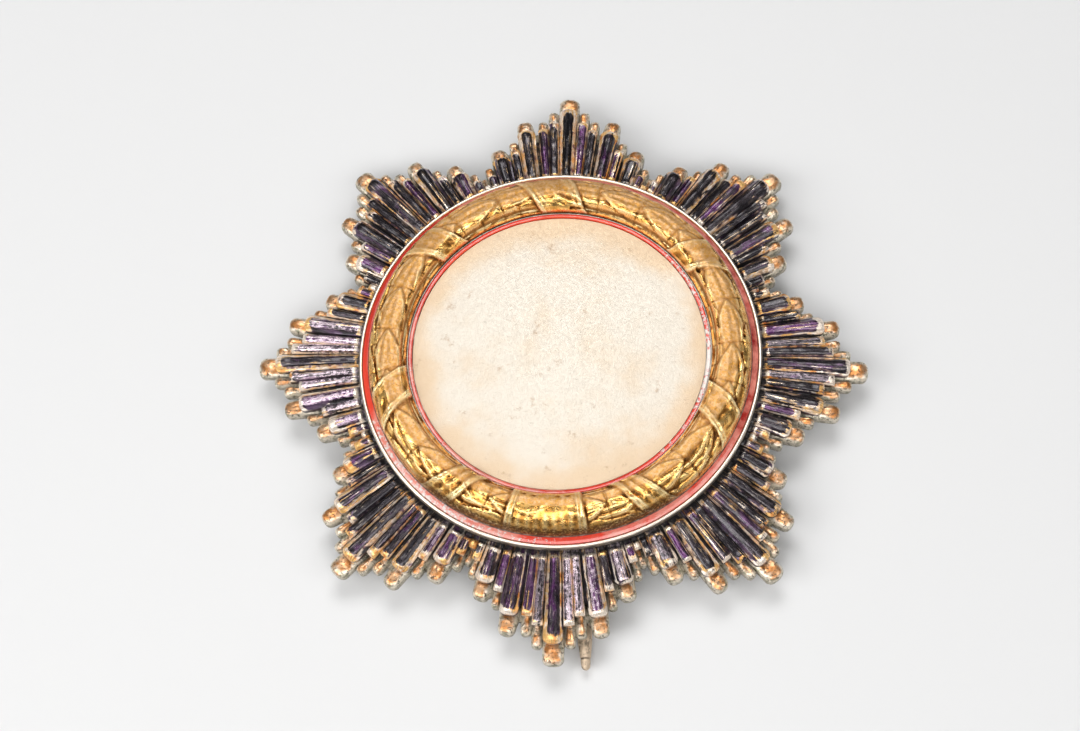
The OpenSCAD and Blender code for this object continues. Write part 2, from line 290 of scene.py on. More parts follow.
class Graph:
    """Short calls that build a node tree.

    Noise drawn out along the rays has its own scale across them at the radius ray_circle, in metres.
    """

    ray_circle: float = 0.026

    def __init__(self, tree: bpy.types.NodeTree) -> None:
        """Starts on an empty tree."""
        self.tree = tree
        tree.nodes.clear()

    def node(self, kind: str, inputs: dict | None = None, **settings: object) -> bpy.types.Node:
        """Adds a node.

        Args:
            kind: The node's type name.
            inputs: Sockets by name, each with a number, a colour or another node's output.
            settings: The node's own settings.

        Returns:
            The new node.
        """
        made = self.tree.nodes.new(kind)
        for key, value in settings.items():
            setattr(made, key, value)
        for key, value in (inputs or {}).items():
            self.feed(made.inputs[key], value)
        return made

    def feed(self, socket: Socket, value: Fed) -> None:
        """Links an output to a socket, or sets the socket's own value."""
        if isinstance(value, bpy.types.NodeSocket):
            self.tree.links.new(value, socket)
        elif isinstance(value, tuple) and len(value) == 3 and socket.type == "RGBA":
            socket.default_value = (*value, 1.0)
        else:
            socket.default_value = value

    def math(self, operation: str, a: Fed, b: Fed, clamp: bool = False) -> Socket:
        """One sum, product or other operation of two numbers."""
        return self.node("ShaderNodeMath", {0: a, 1: b}, operation=operation, use_clamp=clamp).outputs[0]

    def plus(self, a: Fed, b: Fed) -> Socket:
        """The sum of a and b."""
        return self.math("ADD", a, b)

    def minus(self, a: Fed, b: Fed) -> Socket:
        """What is left of a without b."""
        return self.math("SUBTRACT", a, b)

    def times(self, a: Fed, b: Fed) -> Socket:
        """The product of a and b."""
        return self.math("MULTIPLY", a, b)

    def larger(self, a: Fed, b: Fed) -> Socket:
        """The larger of a and b."""
        return self.math("MAXIMUM", a, b)

    def spread(self, value: Fed, low: float, high: float, least: float = 0.0, most: float = 1.0) -> Socket:
        """Maps low..high smoothly to least..most."""
        inputs = {"Value": value, "From Min": low, "From Max": high, "To Min": least, "To Max": most}
        return self.node("ShaderNodeMapRange", inputs, interpolation_type="SMOOTHSTEP").outputs[0]

    def mix(self, share: Fed, a: Fed, b: Fed) -> Socket:
        """Colour a where share is 0 and b where it is 1."""
        return self.node("ShaderNodeMix", {0: share, 6: a, 7: b}, data_type="RGBA").outputs[2]

    def blend(self, share: Fed, a: Fed, b: Fed) -> Socket:
        """Number a where share is 0 and b where it is 1."""
        return self.node("ShaderNodeMix", {0: share, 2: a, 3: b}, data_type="FLOAT").outputs[0]

    def value_of(self, name: str) -> Socket:
        """The named value that the mesh holds at each point."""
        return self.node("ShaderNodeAttribute", attribute_name=name).outputs["Fac"]

    def grain(self, scale: Fed, detail: float = 3.0, rough: float = 0.6, shift: float = 0.0) -> Socket:
        """Soft noise fixed to the piece, from 0 to 1."""
        place = self.node("ShaderNodeTexCoord").outputs["Object"]
        if shift:
            moved = self.node("ShaderNodeVectorMath", operation="ADD")
            self.feed(moved.inputs[0], place)
            moved.inputs[1].default_value = (shift, shift, shift)
            place = moved.outputs[0]
        inputs = {"Vector": place, "Detail": detail, "Roughness": rough, "Scale": scale}
        return self.node("ShaderNodeTexNoise", inputs).outputs["Fac"]

    def noise(self, grain: Grain) -> Socket:
        """The noise that a finish names."""
        return self.grain(grain.scale, grain.detail, grain.rough, grain.shift)

    def rise(self, value: Fed, rise: Rise) -> Socket:
        """Puts a value through a rise that a finish names."""
        return self.spread(value, rise.low, rise.high, rise.least, rise.most)

    def patches(self, patches: Patches) -> Socket:
        """The patches that a finish names."""
        return self.rise(self.noise(patches.grain), patches.rise)

    def drawn(self, drawn: Drawn) -> Socket:
        """Noise drawn out along the rays, from 0 to 1."""
        place = self.node("ShaderNodeTexCoord").outputs["Object"]
        parts = self.node("ShaderNodeSeparateXYZ", {"Vector": place})
        turn = self.times(self.math("ARCTAN2", parts.outputs["Y"], parts.outputs["X"]), self.ray_circle)
        away = self.node("ShaderNodeVectorMath", {0: place}, operation="LENGTH")
        along = self.times(away.outputs["Value"], drawn.along)
        where = self.node("ShaderNodeCombineXYZ", {"X": turn, "Y": along, "Z": drawn.shift})
        inputs = {"Vector": where.outputs[0], "Detail": 3.0, "Roughness": 0.6, "Scale": drawn.scale}
        return self.node("ShaderNodeTexNoise", inputs).outputs["Fac"]

    def effect(self, group: bpy.types.NodeTree, **inputs: Fed) -> bpy.types.Node:
        """Places a shared effect with its own values."""
        return self.node("ShaderNodeGroup", inputs, node_tree=group)


def new_effect(
    name: str, inputs: dict[str, float], outputs: list[str]
) -> tuple[Graph, dict[str, Socket], bpy.types.Node]:
    """Starts a shader node group of numbers.

    Args:
        name: The group's name.
        inputs: Its inputs with their usual values.
        outputs: Names of its outputs.

    Returns:
        The graph to build in, the inputs by name, and the output node.
    """
    tree = bpy.data.node_groups.new(name, "ShaderNodeTree")
    graph = Graph(tree)
    for key, value in inputs.items():
        socket = tree.interface.new_socket(key, in_out="INPUT", socket_type="NodeSocketFloat")
        socket.default_value = value
    for key in outputs:
        tree.interface.new_socket(key, in_out="OUTPUT", socket_type="NodeSocketFloat")
    entry = graph.node("NodeGroupInput")
    return graph, {key: entry.outputs[key] for key in inputs}, graph.node("NodeGroupOutput")


@dataclass
class Effects:
    """The shader effects that several finishes share."""

    cast_skin: bpy.types.NodeTree = field(init=False)
    rubbed: bpy.types.NodeTree = field(init=False)
    shade_and_grime: bpy.types.NodeTree = field(init=False)

    def __post_init__(self) -> None:
        """Builds each group once."""
        self.cast_skin = self._cast_skin()
        self.rubbed = self._rubbed()
        self.shade_and_grime = self._shade_and_grime()

    def _cast_skin(self) -> bpy.types.NodeTree:
        """Uneven cast and struck metal with small pits."""
        outputs = ["Height", "Mottle", "Pit Mask"]
        graph, given, out = new_effect("cast skin", {"Scale": 900.0, "Pits": 0.5}, outputs)
        scale = given["Scale"]
        coarse = graph.grain(scale, 4.0, 0.62)
        fine = graph.grain(graph.times(scale, 4.5), 2.0, 0.5, 0.31)
        place = graph.node("ShaderNodeTexCoord").outputs["Object"]
        cells = graph.node("ShaderNodeTexVoronoi", {"Vector": place, "Scale": graph.times(scale, 2.3)})
        near = graph.spread(cells.outputs["Distance"], 0.08, 0.34, 1.0, 0.0)
        gate = graph.spread(graph.grain(graph.times(scale, 0.7), 2.0, 0.5, 0.77), 0.5, 0.66)
        pits = graph.times(graph.times(near, gate), given["Pits"])
        height = graph.plus(graph.times(coarse, 0.7), graph.times(fine, 0.22))
        graph.feed(out.inputs["Height"], graph.minus(height, graph.times(pits, 0.8)))
        graph.feed(out.inputs["Mottle"], graph.spread(coarse, 0.36, 0.64))
        graph.feed(out.inputs["Pit Mask"], pits)
        return graph.tree

    def _rubbed(self) -> bpy.types.NodeTree:
        """Where handling has worn the top layer off, broken up by noise."""
        usual = {"Edge": 0.0, "Reach": 0.5, "Scale": 900.0, "Softness": 0.12}
        graph, given, out = new_effect("rubbed", usual, ["Mask"])
        broken = graph.times(graph.minus(graph.grain(given["Scale"], 4.0, 0.65, 0.13), 0.5), 1.5)
        level = graph.plus(given["Edge"], broken)
        above = graph.minus(level, graph.minus(1.0, given["Reach"]))
        soft = graph.times(given["Softness"], 2.0)
        share = graph.math("DIVIDE", graph.plus(above, given["Softness"]), soft, True)
        graph.feed(out.inputs["Mask"], share)
        return graph.tree

    def _shade_and_grime(self) -> bpy.types.NodeTree:
        """Darkening that gathers in hollows, as dirt and painted shade, and thins out unevenly."""
        usual = {"Hollow": 0.0, "Amount": 1.0, "Scale": 700.0}
        graph, given, out = new_effect("shade_and_grime", usual, ["Mask"])
        patchy = graph.spread(graph.grain(given["Scale"], 5.0, 0.7, 0.52), 0.3, 0.62, 0.35, 1.25)
        amount = graph.math("MULTIPLY", graph.times(given["Hollow"], patchy), given["Amount"], True)
        graph.feed(out.inputs["Mask"], amount)
        return graph.tree

    def skin(self, graph: Graph, skin: Skin) -> bpy.types.Node:
        """Places the cast skin."""
        return graph.effect(self.cast_skin, Scale=skin.scale, Pits=skin.pits)

    def worn(self, graph: Graph, edge: Socket, wear: Wear) -> Socket:
        """Places the rubbed effect, and gives 1 where the layer is worn off."""
        how = {"Reach": wear.reach, "Scale": wear.scale, "Softness": wear.softness}
        return graph.effect(self.rubbed, Edge=edge, **how).outputs["Mask"]

    def darken_hollows(self, graph: Graph, place: str, dirt_and_shade: ShadeAndDirt) -> Socket:
        """Places the darkening of dirt and painted shade on a named value of the mesh, and gives 1 where it
        lies.
        """
        how = {"Amount": dirt_and_shade.amount, "Scale": dirt_and_shade.scale}
        return graph.effect(self.shade_and_grime, Hollow=graph.value_of(place), **how).outputs["Mask"]


def start_material(name: str) -> tuple[bpy.types.Material, Graph, bpy.types.Node]:
    """Makes a material with one Principled shader.

    Args:
        name: The finish's name.

    Returns:
        The material, its graph and the shader.
    """
    material = bpy.data.materials.new(name)
    material.use_nodes = True
    graph = Graph(material.node_tree)
    shader = graph.node("ShaderNodeBsdfPrincipled")
    out = graph.node("ShaderNodeOutputMaterial")
    graph.feed(out.inputs["Surface"], shader.outputs[0])
    return material, graph, shader


def add_bump(graph: Graph, shader: bpy.types.Node, height: Socket, skin: Skin) -> None:
    """Feeds a height into the shader's normal, as deep and strong as the skin says."""
    inputs = {"Height": height, "Distance": skin.depth, "Strength": skin.strength}
    graph.feed(shader.inputs["Normal"], graph.node("ShaderNodeBump", inputs).outputs[0])


# Finishes


@dataclass(frozen=True)
class Look:
    """A surface's colour, how metallic it is and how rough."""

    color: Fed
    metallic: Fed
    rough: Fed


def lay_over(graph: Graph, shader: bpy.types.Node, share: Socket, under: Look, over: Look) -> None:
    """Feeds a shader with one look, and with another that covers it where share is high."""
    graph.feed(shader.inputs["Base Color"], graph.mix(share, under.color, over.color))
    graph.feed(shader.inputs["Metallic"], graph.blend(share, under.metallic, over.metallic))
    graph.feed(shader.inputs["Roughness"], graph.blend(share, under.rough, over.rough))


@dataclass(frozen=True)
class WornSilver:
    """Silver rays: coppery on the tops, a painted warm reflection of the lights above broken up like rubbed
    wear; pale on the flanks; dark and greenish in the hollows, as dirt and painted shade.
    """

    silver: Rgb = (0.86, 0.77, 0.63)
    green: Rgb = (0.40, 0.38, 0.27)
    # Copper and blush make the painted warm reflection on the tops of the rays.
    copper: Rgb = (0.64, 0.27, 0.09)
    blush: Rgb = (0.78, 0.46, 0.25)
    dirt_and_shade: Look = Look((0.05, 0.038, 0.022), 0.3, 0.6)
    plain: Rgb = (0.66, 0.62, 0.54)
    tarnish: Rgb = (0.38, 0.31, 0.22)
    skin: Skin = Skin(2200.0, 0.55, 0.000045, 0.8)
    greening: Patches = Patches(Grain(1700.0), Rise(0.48, 0.64))
    blushing: Patches = Patches(Grain(1100.0, 2.0, 0.5, 0.3), Rise(0.42, 0.62))
    specks: Patches = Patches(Grain(3000.0, 3.0, 0.7, 0.8), Rise(0.54, 0.62, 0.85))
    staining: Patches = Patches(Grain(170.0, 5.0, 0.65, 0.6), Rise(0.42, 0.7))
    warm_top_reflection: Wear = Wear(0.27, 900.0, 0.18)
    hollow_shade_and_dirt: ShadeAndDirt = ShadeAndDirt(1.2, 3600.0)
    cleaner_back: float = 0.85
    flank_metallic: float = 0.6
    top_metallic: float = 0.85
    rough_rise: Rise = Rise(0.0, 1.0, 0.44, 0.3)

    def build(self, effects: Effects) -> bpy.types.Material:
        """Makes the material from the values crown, hollow and back of the mesh."""
        material, graph, shader = start_material("worn_silver")
        skin = effects.skin(graph, self.skin)
        pale = graph.mix(graph.patches(self.greening), self.silver, self.green)
        warm_tops = effects.worn(graph, graph.value_of("crown"), self.warm_top_reflection)
        tone = graph.mix(graph.patches(self.blushing), self.copper, self.blush)
        speck = graph.larger(graph.patches(self.specks), skin.outputs["Pit Mask"])
        pitted = graph.larger(effects.darken_hollows(graph, "hollow", self.hollow_shade_and_dirt), speck)
        back = graph.value_of("back")
        plain = graph.mix(graph.patches(self.staining), self.plain, self.tarnish)
        color = graph.mix(back, graph.mix(warm_tops, pale, tone), plain)
        pitted = graph.times(pitted, graph.minus(1.0, graph.times(back, self.cleaner_back)))
        metallic = graph.larger(graph.blend(warm_tops, self.flank_metallic, self.top_metallic), back)
        rough = graph.rise(skin.outputs["Mottle"], self.rough_rise)
        lay_over(graph, shader, pitted, Look(color, metallic, rough), self.dirt_and_shade)
        add_bump(graph, shader, skin.outputs["Height"], self.skin)
        return material


@dataclass(frozen=True)
class DarkTone:
    """Dark rays: charcoal and violet crests, flanks with painted light and shade, rubbed lengthwise to gold,
    copper and silver, and a painted sheen on some rays.
    """

    charcoal: Rgb = (0.026, 0.022, 0.026)
    violet: Rgb = (0.105, 0.022, 0.120)
    steel: Rgb = (0.045, 0.045, 0.062)
    # Pale pinkish sheen: a painted highlight on the glossy faces of some rays.
    painted_highlight: Rgb = (0.96, 0.78, 0.87)
    gold: Rgb = (0.92, 0.55, 0.20)
    copper: Rgb = (0.72, 0.28, 0.08)
    pale: Rgb = (0.92, 0.80, 0.68)
    # Tan of the flanks' painted lit side.
    tan: Rgb = (0.80, 0.54, 0.34)
    # Lilac of the flanks' painted shaded side.
    shaded_lilac: Rgb = (0.13, 0.08, 0.14)
    dirt_and_shade: Look = Look((0.012, 0.010, 0.010), 0.2, 0.6)
    skin: Skin = Skin(2800.0, 0.8, 0.00009, 0.9)
    lines: Drawn = Drawn(5200.0, 0.1)
    long_lines: Drawn = Drawn(4600.0, 0.03, 0.8)
    broad: Drawn = Drawn(1700.0, 0.25, 0.4)
    flecks: Drawn = Drawn(7000.0, 0.4, 0.2)
    steeling: Patches = Patches(Grain(800.0, 3.0, 0.6, 0.9), Rise(0.56, 0.68, 0.25))
    speckles: Grain = Grain(2600.0)
    scratching: Patches = Patches(Grain(700.0), Rise(0.42, 0.6, 0.4))
    baring: Patches = Patches(Grain(420.0), Rise(0.44, 0.56))
    coppering: Patches = Patches(Grain(1300.0, 2.0, 0.5, 0.2), Rise(0.52, 0.64))
    glinting: Grain = Grain(500.0, 2.0, 0.5, 0.6)
    gilding: Patches = Patches(Grain(900.0, 2.0, 0.5, 0.5), Rise(0.48, 0.6))
    blotches: Grain = Grain(1700.0, 3.0, 0.6, 0.35)
    violet_spots: Patches = Patches(Grain(1300.0, 2.0, 0.5, 0.75), Rise(0.58, 0.64, 0.75))
    edge_wear: Wear = Wear(0.38, 1900.0, 0.06)
    crest_wear: Wear = Wear(0.5, 1500.0, 0.06)
    hollow_shade_and_dirt: ShadeAndDirt = ShadeAndDirt(1.0, 1800.0)
    violet_rise: Rise = Rise(0.9, 1.15)
    fleck_rise: Rise = Rise(0.64, 0.72, 0.35)
    sheen_rise: Rise = Rise(0.44, 0.52, 1.15, 0.06)
    scratch_rise: Rise = Rise(0.6, 0.68)
    bare_rise: Rise = Rise(0.58, 0.63)
    bare_pale_rise: Rise = Rise(0.4, 0.6)
    glint_rise: Rise = Rise(0.46, 0.58)
    shaded_lilac_rise: Rise = Rise(0.42, 0.6)
    blotch_rise: Rise = Rise(0.48, 0.56, 0.85)
    open_rise: Rise = Rise(0.35, 0.6)
    rough_rise: Rise = Rise(0.3, 0.7, 0.36, 0.18)
    tone_weight: float = 0.7
    speckle_lines: float = 0.6
    speckle_grain: float = 0.4
    sheen_glint: float = 0.25
    blotch_grain: float = 0.65
    blotch_lines: float = 0.35
    flank_swing: float = 1.9
    edge_swing: float = 0.9
    crest_swing: float = 0.5
    skin_bump: float = 0.5
    flank_metallic: float = 0.5
    crest_metallic: float = 0.88
    coat: float = 0.6
    coat_rough: float = 0.09

    def crest_color(self, graph: Graph, lines: Socket, broad: Socket, sheen: Socket) -> Socket:
        """Colour of the crests: dark and scratched, bare in long lines, with a painted pale sheen where sheen
        is high.
        """
        long_lines = graph.drawn(self.long_lines)
        tone = graph.plus(graph.times(graph.value_of("tone"), self.tone_weight), broad)
        color = graph.mix(graph.rise(tone, self.violet_rise), self.charcoal, self.violet)
        color = graph.mix(graph.patches(self.steeling), color, self.steel)
        color = graph.mix(graph.rise(graph.drawn(self.flecks), self.fleck_rise), color, self.pale)
        speckles = graph.times(graph.noise(self.speckles), self.speckle_grain)
        speckles = graph.plus(graph.times(long_lines, self.speckle_lines), speckles)
        # Painted pale sheen, broken into speckled lines along the rays.
        rubbed = graph.math("MULTIPLY", sheen, graph.rise(speckles, self.sheen_rise), True)
        color = graph.mix(rubbed, color, self.painted_highlight)
        scratch = graph.times(graph.rise(lines, self.scratch_rise), graph.patches(self.scratching))
        color = graph.mix(scratch, color, self.pale)
        bare = graph.times(graph.rise(long_lines, self.bare_rise), graph.patches(self.baring))
        metal = graph.mix(graph.rise(broad, self.bare_pale_rise), self.gold, self.pale)
        return graph.mix(bare, color, metal)

    def metal_color(self, graph: Graph, sheen: Socket) -> Socket:
        """Colour of the rubbed edges: gold and copper, pale in places, partly bare silver and partly a
        painted glint, more where the painted sheen is high.
        """
        metal = graph.mix(graph.patches(self.coppering), self.gold, self.copper)
        glint = graph.plus(graph.noise(self.glinting), graph.times(sheen, self.sheen_glint))
        return graph.mix(graph.rise(glint, self.glint_rise), metal, self.pale)

    def flank_color(self, graph: Graph, lines: Socket, broad: Socket) -> Socket:
        """Colour of the flanks with painted light: painted shade in charcoal and lilac, and where flank_light
        is high a painted lit side in tan, gold and pale with violet spots.
        """
        shade = graph.mix(graph.rise(broad, self.shaded_lilac_rise), self.charcoal, self.shaded_lilac)
        lit = graph.mix(graph.patches(self.gilding), self.tan, self.gold)
        blotch = graph.times(graph.noise(self.blotches), self.blotch_grain)
        blotch = graph.plus(blotch, graph.times(lines, self.blotch_lines))
        lit = graph.mix(graph.rise(blotch, self.blotch_rise), lit, self.pale)
        lit = graph.mix(graph.patches(self.violet_spots), lit, self.violet)
        uneven = graph.times(graph.minus(broad, 0.5), self.flank_swing)
        open_flank = graph.plus(graph.value_of("flank_light"), uneven)
        return graph.mix(graph.rise(open_flank, self.open_rise), shade, lit)

    def build(self, effects: Effects) -> bpy.types.Material:
        """Makes the material from the values crest, flank_light, edge, hollow, tone and sheen of the mesh."""
        material, graph, shader = start_material("dark_tone")
        skin = effects.skin(graph, self.skin)
        lines = graph.drawn(self.lines)
        broad = graph.drawn(self.broad)
        sheen = graph.value_of("sheen")
        swing = graph.times(graph.minus(lines, 0.5), self.edge_swing)
        worn = effects.worn(graph, graph.plus(graph.value_of("edge"), swing), self.edge_wear)
        toned = graph.plus(graph.value_of("crest"), graph.times(swing, self.crest_swing))
        crest = effects.worn(graph, toned, self.crest_wear)
        flank_light = self.flank_color(graph, lines, broad)
        color = graph.mix(crest, flank_light, self.crest_color(graph, lines, broad, sheen))
        color = graph.mix(worn, color, self.metal_color(graph, sheen))
        # The gaps between the rays darken to near black, as dirt and painted shade.
        dirt_and_shade = effects.darken_hollows(graph, "hollow", self.hollow_shade_and_dirt)
        metallic = graph.blend(crest, self.flank_metallic, self.crest_metallic)
        rough = graph.rise(lines, self.rough_rise)
        lay_over(graph, shader, dirt_and_shade, Look(color, metallic, rough), self.dirt_and_shade)
        graph.feed(shader.inputs["Coat Weight"], graph.times(graph.minus(1.0, worn), self.coat))
        shader.inputs["Coat Roughness"].default_value = self.coat_rough
        height = graph.plus(lines, graph.times(skin.outputs["Height"], self.skin_bump))
        add_bump(graph, shader, height, self.skin)
        return material


@dataclass(frozen=True)
class RimSilver:
    """Polished silver of the medallion's rims, dull below them."""

    silver: Look = Look((0.79, 0.71, 0.61), 1.0, 0.34)
    dull: Look = Look((0.14, 0.12, 0.10), 0.6, 0.55)
    skin: Skin = Skin(1800.0, 0.4, 0.00005, 0.6)
    hollow_shade_and_dirt: ShadeAndDirt = ShadeAndDirt(1.0, 900.0)

    def build(self, effects: Effects) -> bpy.types.Material:
        """Makes the material from the value hollow of the mesh."""
        material, graph, shader = start_material("rim_silver")
        skin = effects.skin(graph, self.skin)
        pitted = graph.larger(effects.darken_hollows(graph, "hollow", self.hollow_shade_and_dirt), skin.outputs["Pit Mask"])
        lay_over(graph, shader, pitted, self.silver, self.dull)
        add_bump(graph, shader, skin.outputs["Height"], self.skin)
        return material


@dataclass(frozen=True)
class RedEnamel:
    """Glossy fired enamel, chipped, with pale streaks that are partly worn enamel and partly painted
    reflections.
    """

    red: Rgb = (0.80, 0.07, 0.04)
    deep: Rgb = (0.30, 0.012, 0.012)
    pale: Rgb = (0.78, 0.26, 0.20)
    chip: Rgb = (0.78, 0.72, 0.68)
    skin: Skin = Skin(700.0, 0.5, 0.00008, 0.7)
    sheen_streaks: Wear = Wear(0.45, 650.0, 0.2)
    chips: Wear = Wear(0.5, 2400.0, 0.12)
    chip_depth: float = 0.8
    rough: float = 0.12
    chip_rough: float = 0.5
    coat: float = 0.6
    coat_rough: float = 0.06

    def build(self, effects: Effects) -> bpy.types.Material:
        """Makes the material from the values chip, depth and pale of the mesh."""
        material, graph, shader = start_material("red_enamel")
        skin = effects.skin(graph, self.skin)
        color = graph.mix(graph.value_of("depth"), self.red, self.deep)
        color = graph.mix(effects.worn(graph, graph.value_of("pale"), self.sheen_streaks), color, self.pale)
        chips = effects.worn(graph, graph.value_of("chip"), self.chips)
        graph.feed(shader.inputs["Base Color"], graph.mix(chips, color, self.chip))
        graph.feed(shader.inputs["Roughness"], graph.blend(chips, self.rough, self.chip_rough))
        shader.inputs["Coat Weight"].default_value = self.coat
        shader.inputs["Coat Roughness"].default_value = self.coat_rough
        height = graph.minus(skin.outputs["Height"], graph.times(chips, self.chip_depth))
        add_bump(graph, shader, height, self.skin)
        return material


@dataclass(frozen=True)
class WreathGilt:
    """Gilt relief: tan and matt on the rubbed crown, glossy gold on the flanks, pale on the ridges as a
    painted highlight, amber and brown in the hollows as painted shade with dirt.
    """

    gold: Rgb = (1.0, 0.61, 0.19)
    deep_gold: Rgb = (0.92, 0.44, 0.09)
    # Amber: painted shade, redder in the hollows.
    shaded_amber: Rgb = (0.62, 0.26, 0.05)
    # Pale gold of the ridges and the ledge: a painted highlight.
    ridge: Rgb = (1.0, 0.82, 0.46)
    tan: Rgb = (0.67, 0.355, 0.115)
    ochre: Rgb = (0.66, 0.31, 0.05)
    rosy: Rgb = (0.76, 0.445, 0.20)
    brown: Rgb = (0.34, 0.16, 0.05)
    # Brown of dirt and painted shade in the hollows.
    dirt_and_shade: Rgb = (0.12, 0.052, 0.013)
    skin: Skin = Skin(1500.0, 0.45, 0.00009, 0.8)
    ochre_patches: Patches = Patches(Grain(3400.0, 3.0, 0.65, 0.15), Rise(0.45, 0.55))
    rosy_patches: Patches = Patches(Grain(2600.0, 3.0, 0.65, 0.65), Rise(0.48, 0.58))
    brown_patches: Patches = Patches(Grain(4800.0, 3.0, 0.6, 0.4), Rise(0.56, 0.66, 0.6))
    deep_patches: Patches = Patches(Grain(1000.0, 3.0, 0.6, 0.35), Rise(0.42, 0.62))
    crown_wear: Wear = Wear(0.55, 900.0, 0.2)
    hollow_shade_and_dirt: ShadeAndDirt = ShadeAndDirt(1.1, 1500.0)
    dark_foot_patches: ShadeAndDirt = ShadeAndDirt(1.1, 4200.0)
    pit_dark: float = 0.8
    foot_matt: float = 0.85
    metallic: float = 0.88
    matt_less: float = 0.52
    ridge_less: float = 0.4
    rough_rise: Rise = Rise(0.0, 1.0, 0.33, 0.2)
    shaded_amber_rise: Rise = Rise(0.0, 0.5, 0.9)
    matt_rough: float = 0.44
    dark_rough: float = 0.5

    def crown_color(self, graph: Graph) -> Socket:
        """Colour of the rubbed crown: tan with ochre, rosy and brown patches."""
        patch = graph.mix(graph.patches(self.ochre_patches), self.tan, self.ochre)
        patch = graph.mix(graph.patches(self.rosy_patches), patch, self.rosy)
        return graph.mix(graph.patches(self.brown_patches), patch, self.brown)

    def build(self, effects: Effects) -> bpy.types.Material:
        """Makes the material from the values crown, ridge, hollow, dark_foot and foot of the mesh."""
        material, graph, shader = start_material("wreath_gilt")
        skin = effects.skin(graph, self.skin)
        ridge = graph.value_of("ridge")
        rubbed = effects.worn(graph, graph.value_of("crown"), self.crown_wear)
        gold = graph.mix(graph.patches(self.deep_patches), self.gold, self.deep_gold)
        # Ridges get the pale gold of a painted highlight, hollows the amber of painted shade.
        color = graph.mix(ridge, graph.mix(rubbed, gold, self.crown_color(graph)), self.ridge)
        color = graph.mix(graph.rise(graph.value_of("hollow"), self.shaded_amber_rise), color, self.shaded_amber)
        # Hollows, the dark foot band and pits darken to brown, as dirt and painted shade.
        dirt_and_shade = effects.darken_hollows(graph, "hollow", self.hollow_shade_and_dirt)
        dark = graph.larger(dirt_and_shade, effects.darken_hollows(graph, "dark_foot", self.dark_foot_patches))
        dark = graph.larger(dark, graph.times(skin.outputs["Pit Mask"], self.pit_dark))
        graph.feed(shader.inputs["Base Color"], graph.mix(dark, color, self.dirt_and_shade))
        matt = graph.math("MULTIPLY", rubbed, graph.minus(1.0, ridge), True)
        matt = graph.larger(matt, graph.times(graph.value_of("foot"), self.foot_matt))
        less = graph.plus(graph.times(matt, self.matt_less), graph.times(ridge, self.ridge_less))
        graph.feed(shader.inputs["Metallic"], graph.math("SUBTRACT", self.metallic, less, True))
        rough = graph.rise(skin.outputs["Mottle"], self.rough_rise)
        rough = graph.blend(matt, rough, self.matt_rough)
        graph.feed(shader.inputs["Roughness"], graph.larger(rough, graph.times(dark, self.dark_rough)))
        add_bump(graph, shader, skin.outputs["Height"], self.skin)
        return material


@dataclass(frozen=True)
class FrostedField:
    """Frosted silver field with a warm tarnish and faint brown specks."""

    frost: Rgb = (0.74, 0.675, 0.58)
    warm: Rgb = (0.71, 0.55, 0.38)
    speck: Rgb = (0.40, 0.24, 0.12)
    skin: Skin = Skin(3000.0, 1.0, 0.00005, 0.6)
    tarnish: Grain = Grain(110.0, 4.0)
    specks: Patches = Patches(Grain(500.0, 5.0, 0.75, 0.22), Rise(0.58, 0.72, 0.55))
    frosting: Grain = Grain(9000.0, 2.0, 0.5)
    edge_tarnish: float = 0.25
    metallic: float = 0.3
    rough_rise: Rise = Rise(0.0, 1.0, 0.58, 0.42)
    warm_rise: Rise = Rise(0.42, 0.8)

    def build(self, effects: Effects) -> bpy.types.Material:
        """Makes the material from the value edge of the mesh."""
        material, graph, shader = start_material("frosted_field")
        skin = effects.skin(graph, self.skin)
        edge = graph.times(graph.value_of("edge"), self.edge_tarnish)
        warm = graph.rise(graph.plus(graph.noise(self.tarnish), edge), self.warm_rise)
        color = graph.mix(warm, self.frost, self.warm)
        graph.feed(shader.inputs["Base Color"], graph.mix(graph.patches(self.specks), color, self.speck))
        shader.inputs["Metallic"].default_value = self.metallic
        rough = graph.rise(skin.outputs["Mottle"], self.rough_rise)
        graph.feed(shader.inputs["Roughness"], rough)
        add_bump(graph, shader, graph.plus(skin.outputs["Height"], graph.noise(self.frosting)), self.skin)
        return material


@dataclass(frozen=True)
class DullNickel:
    """Nickel silver of the pin and fittings: grey-tan, rough and pitted."""

    name: str
    metal: Look = Look((0.74, 0.58, 0.42), 0.6, 0.5)
    dirt_and_shade: Look = Look((0.085, 0.058, 0.036), 0.3, 0.62)
    skin: Skin = Skin(2400.0, 1.0, 0.00014, 0.9)
    stains: Patches = Patches(Grain(1600.0, 4.0, 0.7, 0.45), Rise(0.5, 0.64, 0.75))
    hollow_shade_and_dirt: ShadeAndDirt = ShadeAndDirt(1.0, 1500.0)

    def build(self, effects: Effects) -> bpy.types.Material:
        """Makes the material; the value hollow of the mesh adds dirt and painted shade."""
        material, graph, shader = start_material(self.name)
        skin = effects.skin(graph, self.skin)
        dark = graph.larger(effects.darken_hollows(graph, "hollow", self.hollow_shade_and_dirt), skin.outputs["Pit Mask"])
        dark = graph.larger(dark, graph.patches(self.stains))
        lay_over(graph, shader, dark, self.metal, self.dirt_and_shade)
        add_bump(graph, shader, skin.outputs["Height"], self.skin)
        return material


# The stars


class RayForm(Enum):
    """Form of one ray."""

    ROD = "round rod with a ball end"
    BAR = "narrow bar with a bevelled end"
    GROOVE = "low gap between two rays"


@dataclass(frozen=True)
class Ray:
    """One ray of the half fan from a main ray to the valley."""

    width: float
    reach: float
    form: RayForm


